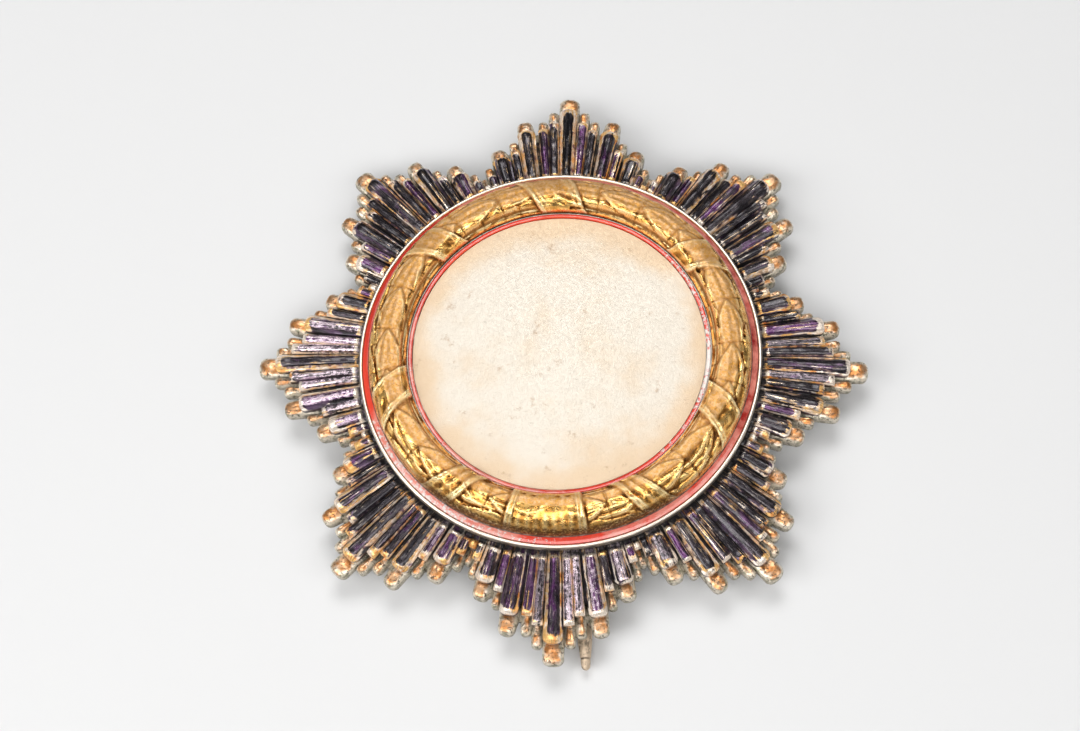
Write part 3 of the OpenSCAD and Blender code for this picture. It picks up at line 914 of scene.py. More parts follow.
HALF_FAN = (
    Ray(4.1, 1.000, RayForm.ROD),
    Ray(2.35, 0.945, RayForm.BAR),
    Ray(2.35, 0.914, RayForm.BAR),
    Ray(0.6, 0.870, RayForm.GROOVE),
    Ray(4.25, 0.920, RayForm.ROD),
    Ray(2.3, 0.845, RayForm.BAR),
    Ray(0.35, 0.810, RayForm.GROOVE),
    Ray(4.75, 0.828, RayForm.ROD),
    Ray(2.3, 0.768, RayForm.BAR),
    Ray(1.9, 0.735, RayForm.BAR),
)


# How strongly single rays of the upper star get a painted pale sheen, by the star's point and the ray's rank
# in the fan
PAINTED_SHEEN_RAYS = {
    0: {-1: 0.25, 2: 0.15},
    4: {-4: 0.5, -2: 0.85, -1: 0.8, 1: 0.6, 2: 0.75, 4: 0.6, 5: 0.6, 7: 0.4},
    5: {5: 0.35},
    6: {-1: 0.35, 1: 0.95, 2: 0.9, 4: 0.55, 7: 0.5},
    7: {-7: 0.3},
}


@dataclass(frozen=True)
class PlacedRay:
    """One ray round the star.

    Its middle and half width are in degrees and its reach is in mm. Length, tilt and level are small
    differences of its own from -0.5 to 0.5, and tone says how far it is toned, from 0 to 1.
    """

    middle: float
    half: float
    reach: float
    form: RayForm
    point: int
    rank: int
    length: float
    tilt: float
    level: float
    tone: float


@dataclass(frozen=True)
class Section:
    """One place across a ray: height as a share of the relief, how rubbed it is and how dark it is toned."""

    height: float
    edge: float
    crest: float


@dataclass
class StarStack:
    """Heights and radii that the two stars and the medallion share."""

    star_r: float = 32.5
    upper_in: float = 1.9
    point_count: int = 8
    point_lift: float = 2.4
    dome_rise: float = 2.1
    lower_edge_t: float = 0.65
    lower_relief: float = 0.55
    upper_edge_t: float = 0.55
    upper_relief: float = 0.65
    layer_gap: float = 0.1
    seat_gap: float = 0.04
    medal_r: float = 21.25
    seat_r: float = 21.55

    def lower_back(self, r: Numbers) -> Numbers:
        """Height of the lower star's back."""
        return self.point_lift + self.dome_rise * (1 - r / self.star_r)

    def lower_foot(self, r: Numbers) -> Numbers:
        """Height of the lower star between its rays."""
        return self.point_lift + self.lower_edge_t + self.dome_rise * (1 - (r / self.star_r) ** 2)

    def upper_back(self, r: Numbers) -> Numbers:
        """Height of the upper star's back."""
        return self.lower_foot(r) + self.lower_relief + self.layer_gap

    def upper_foot(self, r: Numbers) -> Numbers:
        """Height of the upper star between its rays."""
        return self.upper_back(r) + self.upper_edge_t

    def seat_cone(self, r: Numbers) -> Numbers:
        """Height of the upper star's crowns under the medallion."""
        inner = self.upper_foot(0.0) + self.upper_relief
        outer = self.upper_foot(self.seat_r) + self.upper_relief
        return inner + (outer - inner) * r / self.seat_r


@dataclass
class RayedStar:
    """One star: a closed shell of columns, several to a ray, from the seat to the ray's end and back."""

    stack: StarStack
    name: str
    is_upper: bool
    across: int = 8
    end_steps: tuple[float, ...] = (
        0.0, 0.03, 0.09, 0.18, 0.3, 0.45, 0.62, 0.82, 1.05, 1.3, 1.6, 1.95, 2.35, 2.8,
    )
    run_steps: int = 14
    wall_rings: tuple[tuple[float, float], ...] = ((0.12, -0.03), (0.45, -0.045), (0.82, -0.02), (1.0, 0.07))
    wall_inset: float = 0.045
    back_rings: tuple[float, ...] = (0.6, 0.25)
    inner_gap: float = 0.02
    inner_share: float = 0.62
    notch: float = 0.16
    notch_height: float = -0.3
    groove_height: float = -0.12
    column_span: float = 0.95
    reach_play: float = 0.22
    slim_rod: float = 0.82
    slim_bar: float = 0.88
    rod_half: float = 0.74
    bevel_share: float = 0.24
    end_round: float = 0.8
    end_power: float = 2.6
    bar_end_round: float = 0.3
    nose_power: float = 2.4
    gold_end: float = 0.95
    cut: float = 0.13
    toned_points: tuple[int, ...] = (0, 4, 6)
    dull_point: int = 7
    line_share: float = 0.55
    dull_line_share: float = 0.4
    # How much painted light the flanks get, for each point of the star.
    flank_light_share: tuple[float, ...] = (1.0, 0.62, 1.3, 0.75, 1.1, 1.2, 1.0, 0.6)
    rough: tuple[Waves, ...] = (Waves(0.045, 0.75, 1.3), Waves(0.03, 0.32, 5.1))
    shake: Waves = Waves(0.03, 0.6, 9.4)

    @property
    def radius(self) -> float:
        """Distance of the main points from the centre."""
        return self.stack.star_r - (self.stack.upper_in if self.is_upper else 0.0)

    @property
    def relief(self) -> float:
        """How far the rays stand out."""
        return self.stack.upper_relief if self.is_upper else self.stack.lower_relief

    @property
    def inner(self) -> float:
        """Radius where the rays end inside, under the piece above."""
        return self.stack.medal_r + self.inner_gap if self.is_upper else self.radius * self.inner_share

    def foot(self, r: Numbers) -> Numbers:
        """Height between the rays."""
        return self.stack.upper_foot(r) if self.is_upper else self.stack.lower_foot(r)

    def back(self, r: Numbers) -> Numbers:
        """Height of the back."""
        return self.stack.upper_back(r) if self.is_upper else self.stack.lower_back(r)

    def rays(self) -> list[PlacedRay]:
        """Every ray round the star with its own small differences, in order round it."""
        half_fan = 180.0 / self.stack.point_count
        weight = HALF_FAN[0].width / 2 + HALF_FAN[-1].width / 2 + sum(r.width for r in HALF_FAN[1:-1])
        scale = half_fan / weight
        middles = [0.0]
        for before, ray in zip(HALF_FAN, HALF_FAN[1:]):
            middles.append(middles[-1] + scale * (before.width / 2 + ray.width / 2))
        last = len(HALF_FAN) - 1
        order = [(-1, i) for i in range(last - 1, 0, -1)] + [(1, i) for i in range(last + 1)]
        found = []
        for point in range(self.stack.point_count):
            for side, i in order:
                ray = HALF_FAN[i]
                key = (i + 1.0, side + 2.0, 5.0 if self.is_upper else 3.0)
                toned = 0.2 if point in self.toned_points else 0.0
                found.append(PlacedRay(
                    middle=2 * half_fan * point + side * middles[i],
                    half=scale * ray.width / 2,
                    reach=ray.reach * self.radius,
                    form=ray.form,
                    point=point,
                    rank=side * i,
                    length=hashed(point + 1.0, *key) - 0.5,
                    tilt=hashed(point + 10.0, *key) - 0.5,
                    level=hashed(point + 18.0, *key) - 0.5,
                    tone=min(1.0, 0.85 * hashed(point + 32.0, *key) + toned),
                ))
        return found

    def rubbed_line(self, ray: PlacedRay, p: float) -> float:
        """How rubbed the ray's edge is on the side of p: fully on some sides, a little on the others."""
        share = self.dull_line_share if ray.point == self.dull_point else self.line_share
        return 1.0 if hashed(ray.middle, 1.0 if p > 0 else 2.0) < share else 0.3

    def upper_rod(self, ray: PlacedRay, p: float) -> Section:
        """Section of a dark rod: a round middle between two flat shoulders."""
        q = abs(p)
        rod = math.sqrt(max(0.0, 1 - (q / self.rod_half) ** 2)) if q < self.rod_half else 0.0
        shoulder = (0.14 + 0.12 * ray.level) * (1 - step(q, 0.84, 1.0))
        edge = self.rubbed_line(ray, p) if 0.66 < q < 0.9 else 0.0
        return Section(max(rod, shoulder), edge, step(q, 0.68, 0.42))

    def bar(self, ray: PlacedRay, p: float) -> Section:
        """Section of a bar: a low roof that falls from its own ridge, with bevelled edges."""
        q = abs(p)
        ridge = 0.8 * ray.tilt
        run = (p - ridge) / (1 - ridge) if p > ridge else (ridge - p) / (1 + ridge)
        roof = 0.94 + 0.12 * ray.level - (0.3 + 0.2 * ray.tilt) * run
        bevel = min(1.0, (1 - q) / self.bevel_share)
        edge = self.rubbed_line(ray, p) if q > 0.78 else 0.0
        return Section(roof * (0.3 + 0.7 * bevel**0.8), edge, step(q, 0.95, 0.7))

    def section(self, ray: PlacedRay, p: float) -> Section:
        """Section of a ray at a place across it, from -1 to 1."""
        if ray.form is RayForm.GROOVE:
            return Section(self.groove_height, 0.0, 0.0)
        if ray.form is RayForm.BAR:
            return self.bar(ray, p)
        if self.is_upper:
            return self.upper_rod(ray, p)
        return Section(math.sqrt(max(0.0, 1 - abs(p) ** 2.4)) * 0.98, 0.0, 0.0)

    def slim(self, ray: PlacedRay) -> float:
        """Share of its width that the ray takes up; the lower star's lesser rays stand apart."""
        if self.is_upper or not ray.rank:
            return 1.0
        return self.slim_rod if ray.form is RayForm.ROD else self.slim_bar

    def end_fall(self, ray: PlacedRay, p: float) -> float:
        """How far the ray's end falls back at a place across it, in half widths."""
        fall = self.end_round * (1 - (1 - abs(p) ** self.end_power) ** (1 / self.end_power))
        if ray.form is RayForm.ROD:
            return fall
        return (self.bar_end_round * fall if self.is_upper else fall) + 0.12 * ray.tilt * p

    def flank_light(self, ray: PlacedRay, p: float) -> float:
        """How lit the ray's flank is drawn on the side of p, as painted light; each point of the star has its
        own share.
        """
        return self.flank_light_share[ray.point] * hashed(ray.middle + 3.0, 1.0 if p > 0 else 2.0)

    def sheen(self, ray: PlacedRay) -> float:
        """How much painted pale, pinkish sheen the ray gets, a painted highlight on its glossy face."""
        if not self.is_upper or ray.form is RayForm.GROOVE:
            return 0.0
        return PAINTED_SHEEN_RAYS.get(ray.point, {}).get(ray.rank, 0.08 * ray.tone)

    def columns(self) -> dict[str, np.ndarray]:
        """Arrays with one entry for each column of the shell, in order round the star."""
        rows: list[dict[str, float]] = []
        rays = self.rays()
        for n, ray in enumerate(rays):
            reach = min(self.radius, ray.reach + (self.reach_play * ray.length if ray.rank else 0.0))
            half_width = reach * math.sin(math.radians(ray.half))
            is_rod = ray.form is RayForm.ROD
            is_groove = ray.form is RayForm.GROOVE
            count = self.across + 5 if is_rod else self.across + 1
            places = [0.0] if is_groove else np.linspace(-self.column_span, self.column_span, count)
            for p in places:
                section = self.section(ray, p)
                rows.append({
                    "middle": ray.middle,
                    "half": ray.half * self.slim(ray),
                    "p": p,
                    "end": reach - half_width * self.end_fall(ray, p),
                    "height": section.height,
                    "half_width": half_width,
                    "rod": is_rod,
                    "edge": section.edge,
                    "tone": ray.tone,
                    "sheen": self.sheen(ray),
                    "groove": is_groove,
                    "level": ray.level,
                    "cut": hashed(n + 1.0, p + 3.0),
                    "crest": section.crest,
                    "flank_light": self.flank_light(ray, p),
                })
            border = dict.fromkeys(rows[-1], 0.0)
            border["middle"] = ray.middle + ray.half
            border["end"] = min(ray.reach, rays[(n + 1) % len(rays)].reach) - self.notch
            border["height"] = self.notch_height
            border["half_width"] = half_width
            border["tone"] = ray.tone
            border["groove"] = 1.0
            rows.append(border)
        return {key: np.array([row[key] for row in rows], float) for key in rows[0]}

    def face_radii(self, c: dict[str, np.ndarray]) -> list[np.ndarray]:
        """Radius of each column in each ring of the face, from the rays' ends inwards."""
        length = c["end"] - self.inner
        stretch = np.minimum(1.0, length / (self.end_steps[-1] * 1.15))
        radii = [c["end"] - s * stretch for s in self.end_steps]
        last = radii[-1]
        runs = np.linspace(0, 1, self.run_steps + 1)[1:]
        return radii + [last + (self.inner - last) * t for t in runs]

    def face_ring(self, c: dict[str, np.ndarray], r: np.ndarray) -> tuple[np.ndarray, dict[str, np.ndarray]]:
        """One ring of the face.

        Args:
            c: The columns.
            r: Radius of each column in mm.

        Returns:
            The ring's points and their named values.
        """
        groove = c["groove"] > 0.5
        nothing = np.zeros(len(r))
        inward = c["end"] - r
        s = inward / np.maximum(c["half_width"], 0.3)
        ball = (1 - (1 - np.clip(s / 0.75, 0, 1)) ** self.nose_power) ** (1 / self.nose_power)
        nose = np.where(c["rod"] > 0.5, ball, 0.4 + 0.6 * np.clip(s / 0.6, 0, 1) ** 0.8)
        neck = bead(s, 2.3, 1.15) * (0.05 if self.is_upper else 0.2)
        beyond = (not self.is_upper) * 0.14 * step(s, 1.5, 2.6)
        trough = step(r, self.inner + 0.62, self.inner + 0.12) if self.is_upper else nothing
        height = np.where(groove, c["height"], c["height"] * nose * (1 - 1.3 * neck - 0.8 * beyond))
        height = height * (1 - 0.55 * trough)
        cuts = lumps(np.stack([c["cut"] * 9.0, 0.12 * r, nothing], -1), 1.0, 3.0)
        height = height + np.where(groove, 0.0, self.cut * cuts * np.clip(s, 0, 1))
        angle = np.radians(c["middle"] + c["p"] * c["half"] * (1 - neck - beyond))
        ring = round_axis(r, angle, self.foot(r) + self.relief * height)
        long_end = self.gold_end * (1 + 1.1 * c["level"])
        near_end = step(inward, long_end, 0.35 * long_end) * (0.5 + 0.5 * c["tone"])
        # Hollows are darkened as dirt and painted shade: on the lower star more so further in, under the
        # upper star, and on the upper star in the trough by the medallion.
        low = step(height, 0.14, -0.15) if self.is_upper else step(height, 0.42, 0.02)
        open_air = 1.0 if self.is_upper else 0.4 + 0.6 * step(inward, 1.0, 2.4)
        near_rim = step(r, self.inner + 1.0, self.inner + 0.72) * (1 - 0.6 * trough)
        rim_spot = near_rim * (0.45 + 0.6 * c["tone"]) * (c["height"] > 0.1)
        worn = c["edge"] * (0.55 + 0.65 * c["tone"]) + near_end + rim_spot
        return ring, {
            "crown": np.where(groove, 0.0, np.clip(c["height"] * nose, 0, 1)),
            "hollow": np.clip(np.where(groove, 1.0, low) * open_air + 0.9 * trough, 0, 1),
            "edge": np.clip(worn, 0, 1) * (~groove),
            "back": nothing,
            "crest": c["crest"] * step(inward / long_end - 0.6 * c["p"] ** 2, 0.35, 0.75),
        }

    def wall_ring(
        self, c: dict[str, np.ndarray], top: np.ndarray, share: float, inset: float
    ) -> tuple[np.ndarray, dict[str, np.ndarray]]:
        """One ring of the wall at the rays' ends.

        Args:
            c: The columns.
            top: Height of the face's first ring.
            share: How far down the wall the ring lies.
            inset: How far it lies behind the wall's face.

        Returns:
            The ring's points and their named values.
        """
        groove = c["groove"] > 0.5
        angle = np.radians(c["middle"] + c["p"] * c["half"])
        z = top + (self.back(c["end"]) - top) * share
        # The wall is drawn paler at its top and darker towards the back.
        light = 0.2 * (1 - share)
        dark = 0.2 + 0.34 * share
        lit = np.where(groove, light * 0.5, light)
        nothing = np.zeros(len(angle))
        hollow = np.where(groove, max(dark, 0.5), dark)
        values = {"crown": lit, "hollow": hollow, "edge": lit, "back": nothing, "crest": nothing}
        return round_axis(c["end"] - inset - self.wall_inset, angle, z), values

    def back_ring(self, c: dict[str, np.ndarray], share: float) -> tuple[np.ndarray, dict[str, np.ndarray]]:
        """One ring of the back, at a share of the columns' length: its points and their named values."""
        angle = np.radians(c["middle"] + c["p"] * c["half"])
        r = np.minimum(c["end"] * share + (self.radius * 0.1), c["end"] - 0.3)
        levels = {"crown": 0.0, "hollow": 0.35, "edge": 0.1, "back": 1.0, "crest": 0.0}
        return round_axis(r, angle, self.back(r)), {key: np.full(len(r), v) for key, v in levels.items()}

    def surface(self) -> tuple[np.ndarray, dict[str, np.ndarray], int]:
        """All rings of the shell.

        Returns:
            The points by ring, the named values by point, and the number of points in a ring.
        """
        c = self.columns()
        rings = [self.face_ring(c, r) for r in self.face_radii(c)]
        top = rings[0][0][:, 2]
        for share, inset in self.wall_rings:
            rings.insert(0, self.wall_ring(c, top, share, inset))
        for share in self.back_rings:
            rings.insert(0, self.back_ring(c, share))
        values = {key: np.concatenate([named[key] for _, named in rings]) for key in rings[0][1]}
        for key in ("tone", "sheen", "flank_light"):
            values[key] = np.tile(c[key], len(rings))
        return np.stack([points for points, _ in rings]), values, len(c["p"])

    def build(self, effects: Effects) -> bpy.types.Object:
        """Makes the star and dresses it."""
        rings, values, count = self.surface()
        total = len(rings)
        points = rings.reshape(-1, 3)
        flat = points * np.array([1.0, 1.0, 0.3])
        from_axis = np.hypot(points[:, 0], points[:, 1])
        face = np.arange(len(points)) >= (len(self.wall_rings) + len(self.back_rings)) * count
        points[:, 2] += np.where(face, sum(waves.over(flat) for waves in self.rough), 0.0)
        shake = np.where(from_axis < self.radius - 0.05, self.shake.over(flat), 0.0)
        points[:, :2] *= (1 + shake / np.maximum(from_axis, 1))[:, None]
        middle_top = self.stack.seat_cone(0.0) - 0.05 if self.is_upper else self.foot(0.0)
        points = np.vstack([points, [[0, 0, middle_top], [0, 0, self.back(0.0)]]])
        values = {key: np.append(v, [0.0, 0.3]) for key, v in values.items()}
        faces = ring_quads(total, count)
        faces += closing_fan(total - 1, count, total * count, False)
        faces += closing_fan(0, count, total * count + 1, True)
        star = make_mesh(self.name, points, faces, values, 55.0)
        finish = DarkTone() if self.is_upper else WornSilver()
        star.data.materials.append(finish.build(effects))
        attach(star, "star")
        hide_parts("upper_star" if self.is_upper else "lower_star")
        return star


# The medallion


@dataclass(frozen=True)
class Spot:
    """A stretch round an enamel band: its middle and half width in degrees from +X, and its strength."""

    middle: float
    half: float
    strength: float


@dataclass(frozen=True)
class Marks:
    """One value round an enamel band: its usual level, its spots, and how much it grows outwards."""

    level: float
    spots: tuple[Spot, ...]
    outwards: float = 0.0

    def over(self, angle: np.ndarray, share: np.ndarray) -> np.ndarray:
        """The value at each point, from its angle in degrees and its share of the way outwards."""
        value = self.level
        for spot in self.spots:
            away = np.abs((angle - spot.middle + 180) % 360 - 180)
            value = value + spot.strength * (1 - step(away, spot.half * 0.5, spot.half))
        return np.clip(value + self.outwards * share, 0, 1)


@dataclass(frozen=True)
class EnamelWear:
    """Where an enamel band is deep, pale or chipped; the pale marks are partly painted reflections."""

    depth: Marks
    pale: Marks
    chip: Marks


OUTER_WEAR = EnamelWear(
    depth=Marks(0.1, (Spot(352, 26, 0.7), Spot(20, 30, 0.55), Spot(55, 40, 0.45), Spot(140, 50, 0.35))),
    # Pale marks: partly worn enamel, partly painted reflections.
    pale=Marks(0.16, (
        Spot(308, 38, 0.5), Spot(250, 20, 0.2), Spot(90, 50, 0.6), Spot(215, 25, 0.25), Spot(15, 50, 0.45),
        Spot(230, 36, 0.5),
    )),
    chip=Marks(0.02, (Spot(262, 14, 0.24), Spot(226, 34, 0.4)), 0.08),
)
INNER_WEAR = EnamelWear(
    depth=Marks(0.12, (Spot(170, 30, 0.3),)),
    pale=Marks(0.2, (Spot(200, 45, 0.35), Spot(250, 30, 0.4))),
    chip=Marks(0.04, (Spot(15, 45, 0.4), Spot(335, 40, 0.3), Spot(225, 30, 0.2), Spot(186, 14, 0.2))),
)


@dataclass
class Medallion:
    """Round plate with its rims, two enamel bands and the frosted field."""

    stack: StarStack
    rim_wall_h: float = 1.0
    rim_w: float = 0.4
    outer_enamel_w: float = 0.66
    outer_enamel_rise: float = 0.4
    enamel_t: float = 0.35
    bed_rise: float = 0.85
    wreath_w: float = 4.2
    inner_edge_w: float = 0.1
    inner_edge_h: float = 0.06
    inner_enamel_w: float = 0.48
    field_t: float = 0.4
    field_rise: float = 0.8
    steps: int = 360
    rim_steps: int = 8
    rim_round: float = 0.2
    rim_waves: Waves = Waves(0.012, 3.0, 3.7)
    band_steps: int = 720
    band_across: int = 8
    band_t: float = 0.26
    band_waves: Waves = Waves(0.02, 1.6, 3.7)
    outer_sag: float = 0.05
    inner_sag: float = 0.04
    field_rings: int = 44
    field_steps: int = 180
    field_drop: float = 0.03
    field_tarnish_w: float = 4.0
    field_waves: tuple[Waves, ...] = (Waves(0.02, 3.2, 2.2), Waves(0.008, 0.9, 7.7))

    def __post_init__(self) -> None:
        """Works out the radii and heights of the rings, from the rim inwards."""
        s = self.stack
        self.rim_z = s.seat_cone(s.medal_r) + s.layer_gap + self.rim_wall_h
        self.outer_enamel_r = s.medal_r - self.rim_w
        self.wreath_outer_r = self.outer_enamel_r - self.outer_enamel_w
        self.wreath_inner_r = self.wreath_outer_r - self.wreath_w
        self.inner_enamel_r = self.wreath_inner_r - self.inner_edge_w
        self.field_r = self.inner_enamel_r - self.inner_enamel_w
        self.bed_outer_z = self.rim_z + self.outer_enamel_rise
        self.bed_inner_z = self.bed_outer_z + self.bed_rise
        self.floor_z = self.bed_inner_z - self.field_t

    def corners(self) -> list[tuple[float, float, float]]:
        """Radius, height and darkness, as dirt and painted shade, of each corner of the plate's section, from
        below round to above.
        """
        s = self.stack
        under = s.seat_cone(s.medal_r) + s.layer_gap
        half = self.rim_w / 2
        found = [
            (0.01, s.seat_cone(0) + s.layer_gap, 0.5),
            (s.medal_r - 0.12, under, 0.9),
            (s.medal_r - 0.04, under + 0.06, 0.95),
            (s.medal_r - 0.05, self.rim_z - 0.6, 0.85),
            (s.medal_r - 0.03, self.rim_z - 0.36, 0.6),
        ]
        for k in range(self.rim_steps + 1):
            turn = math.pi * k / self.rim_steps
            z = self.rim_z - self.rim_round + self.rim_round * math.sin(turn) ** 0.8
            dirt_and_shade = 0.0 if 0 < k < self.rim_steps else 0.5
            found.append((s.medal_r - half + half * math.cos(turn), z, dirt_and_shade))
        edge_top = self.bed_inner_z + self.inner_edge_h
        return found + [
            (self.outer_enamel_r, self.rim_z - self.enamel_t, 0.9),
            (self.wreath_outer_r, self.bed_outer_z - self.enamel_t, 0.9),
            (self.wreath_outer_r, self.bed_outer_z, 0.9),
            (self.wreath_inner_r, self.bed_inner_z, 0.9),
            (self.wreath_inner_r, edge_top - 0.02, 0.8),
            (self.wreath_inner_r - 0.03, edge_top, 0.55),
            (self.inner_enamel_r + 0.03, edge_top, 0.3),
            (self.inner_enamel_r, edge_top - 0.02, 0.6),
            (self.inner_enamel_r, self.bed_inner_z - self.enamel_t, 0.9),
            (self.field_r, self.bed_inner_z - self.enamel_t, 0.9),
            (self.field_r, self.floor_z, 0.5),
            (0.01, self.floor_z, 0.5),
        ]

    def plate(self, effects: Effects) -> bpy.types.Object:
        """The silver plate with its rounded rim and thin inner edge."""
        corners = self.corners()
        profile = [(r, z) for r, z, _ in corners]
        hollow = np.array([dirt_and_shade for _, _, dirt_and_shade in corners])
        plate = lathe("medallion_rim", profile, self.steps, {"hollow": hollow}, self.rim_waves)
        plate.data.materials.append(RimSilver().build(effects))
        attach(plate, "star")
        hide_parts("medallion_plate")
        return plate

    def band(
        self, name: str, outer: tuple[float, float], inner: tuple[float, float], sag: float
    ) -> bpy.types.Object:
        """An enamel band with a slightly hollow face between two heights.

        Args:
            name: Name of the piece.
            outer: Radius and height of the outer edge.
            inner: Radius and height of the inner edge.
            sag: How far the face sinks between its edges.

        Returns:
            The new object, not yet dressed.
        """
        shape = [(outer[0], outer[1] - self.band_t)]
        for k in range(self.band_across + 1):
            t = k / self.band_across
            z = outer[1] + (inner[1] - outer[1]) * t - sag * math.sin(math.pi * t)
            shape.append((outer[0] + (inner[0] - outer[0]) * t, z))
        shape.append((inner[0], inner[1] - self.band_t))
        return lathe(name, shape, self.band_steps, None, self.band_waves)

    def mark_enamel(self, band: bpy.types.Object, wear: EnamelWear) -> None:
        """Writes where the enamel is deep, pale or chipped, by the angle round the star."""
        count = len(band.data.vertices)
        place = np.zeros(count * 3)
        band.data.vertices.foreach_get("co", place)
        place = place.reshape(-1, 3) / MM
        angle = np.degrees(np.arctan2(place[:, 1], place[:, 0])) % 360
        radius = np.hypot(place[:, 0], place[:, 1])
        share = (radius - radius.min()) / (radius.max() - radius.min())
        for key, marks in (("depth", wear.depth), ("pale", wear.pale), ("chip", wear.chip)):
            attribute = band.data.attributes.new(key, "FLOAT", "POINT")
            attribute.data.foreach_set("value", marks.over(angle, share).astype(np.float32))

    def enamel(self, effects: Effects) -> list[bpy.types.Object]:
        """Both enamel bands in their channels."""
        gap = self.stack.seat_gap
        edge = (self.outer_enamel_r - gap, self.rim_z - gap)
        foot = (self.wreath_outer_r + gap, self.bed_outer_z - gap)
        outer = self.band("outer_enamel_band", edge, foot, self.outer_sag)
        edge = (self.inner_enamel_r - gap, self.bed_inner_z + gap)
        foot = (self.field_r + gap, self.bed_inner_z + gap)
        inner = self.band("inner_enamel_band", edge, foot, self.inner_sag)
        red = RedEnamel().build(effects)
        for band, node, wear in ((outer, "outer_enamel", OUTER_WEAR), (inner, "inner_enamel", INNER_WEAR)):
            self.mark_enamel(band, wear)
            band.data.materials.append(red)
            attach(band, "star")
            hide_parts(node)
        return [outer, inner]

    def field_top(self, edge_r: float, r: float) -> float:
        """Height of the field's cap at a radius."""
        arc = (edge_r**2 + self.field_rise**2) / (2 * self.field_rise)
        return self.bed_inner_z + self.field_rise - arc + math.sqrt(arc**2 - r**2)

    def field_cap(self, effects: Effects) -> bpy.types.Object:
        """The bare frosted field, a shallow cap with fine waves."""
        edge_r = self.field_r - self.stack.seat_gap
        base_z = self.floor_z + self.stack.seat_gap
        rings, around = self.field_rings, self.field_steps
        turn = np.linspace(0, 2 * np.pi, around, endpoint=False)
        shell = [round_axis(edge_r, turn, np.full(around, base_z))]
        for k, r in enumerate(edge_r * np.linspace(1, 0, rings, endpoint=False)):
            drop = self.field_drop if k == 0 else 0.0
            shell.append(round_axis(r, turn, np.full(around, self.field_top(edge_r, r) - drop)))
        points = np.concatenate(shell)
        from_axis = np.hypot(points[:, 0], points[:, 1])
        waves = sum(w.over(points) for w in self.field_waves) * (from_axis < edge_r - 0.1)
        points[around:, 2] += waves[around:]
        edge = step(from_axis, edge_r - self.field_tarnish_w, edge_r)
        points = np.vstack([points, [[0, 0, self.field_top(edge_r, 0.0)], [0, 0, base_z]]])
        faces = ring_quads(rings + 1, around)
        faces += closing_fan(rings, around, (rings + 1) * around, False)
        faces += closing_fan(0, around, (rings + 1) * around + 1, True)
        cap = make_mesh("frosted_field", points, faces, {"edge": np.append(edge, [0, 0])}, 40.0)
        cap.data.materials.append(FrostedField().build(effects))
        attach(cap, "star")
        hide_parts("field_disc")
        return cap

    def build(self, effects: Effects) -> list[bpy.types.Object]:
        """Makes the plate, the bands and the field."""
        return [self.plate(effects), *self.enamel(effects), self.field_cap(effects)]


# The wreath


@dataclass(frozen=True)
class LeafRow:
    """One row of leaves: its place and half width across the wreath, and its shift in leaf pitches."""

    across: float
    half: float
    shift: float


@dataclass(frozen=True)
class Band:
    """A ribbon across the wreath: angle from the tablet, half width and lean in degrees, and its folds."""

    at: float
    half: float
    lean: float
    folds: float = 0.05


@dataclass(frozen=True)
class Pit:
    """A deep hollow, darkened by the painted shade and dirt of the hollows: its place and its half widths,
    along in degrees and across as a share.
    """

    turn: float
    across: float
    half_turn: float = 1.1
    half_across: float = 0.03


@dataclass
class Patch:
    """One piece of relief on the wreath: where it is, its height, its ridges, which get a painted highlight,
    and the groove round it.
    """

    inside: np.ndarray
    height: np.ndarray
    ridge: np.ndarray
    groove: np.ndarray


@dataclass
class Relief:
    """The wreath's relief by step along and across.

    Turn is signed, in degrees from the tablet, and across runs from 0 at the inner foot to 1 at the outer.
    Height is a share of the leaves' relief, ridge says how pale a ridge is drawn, a painted highlight,
    and ledge how open the ledge at the inner foot is.
    """

    turn: np.ndarray
    across: np.ndarray
    height: np.ndarray
    ridge: np.ndarray
    ledge: np.ndarray


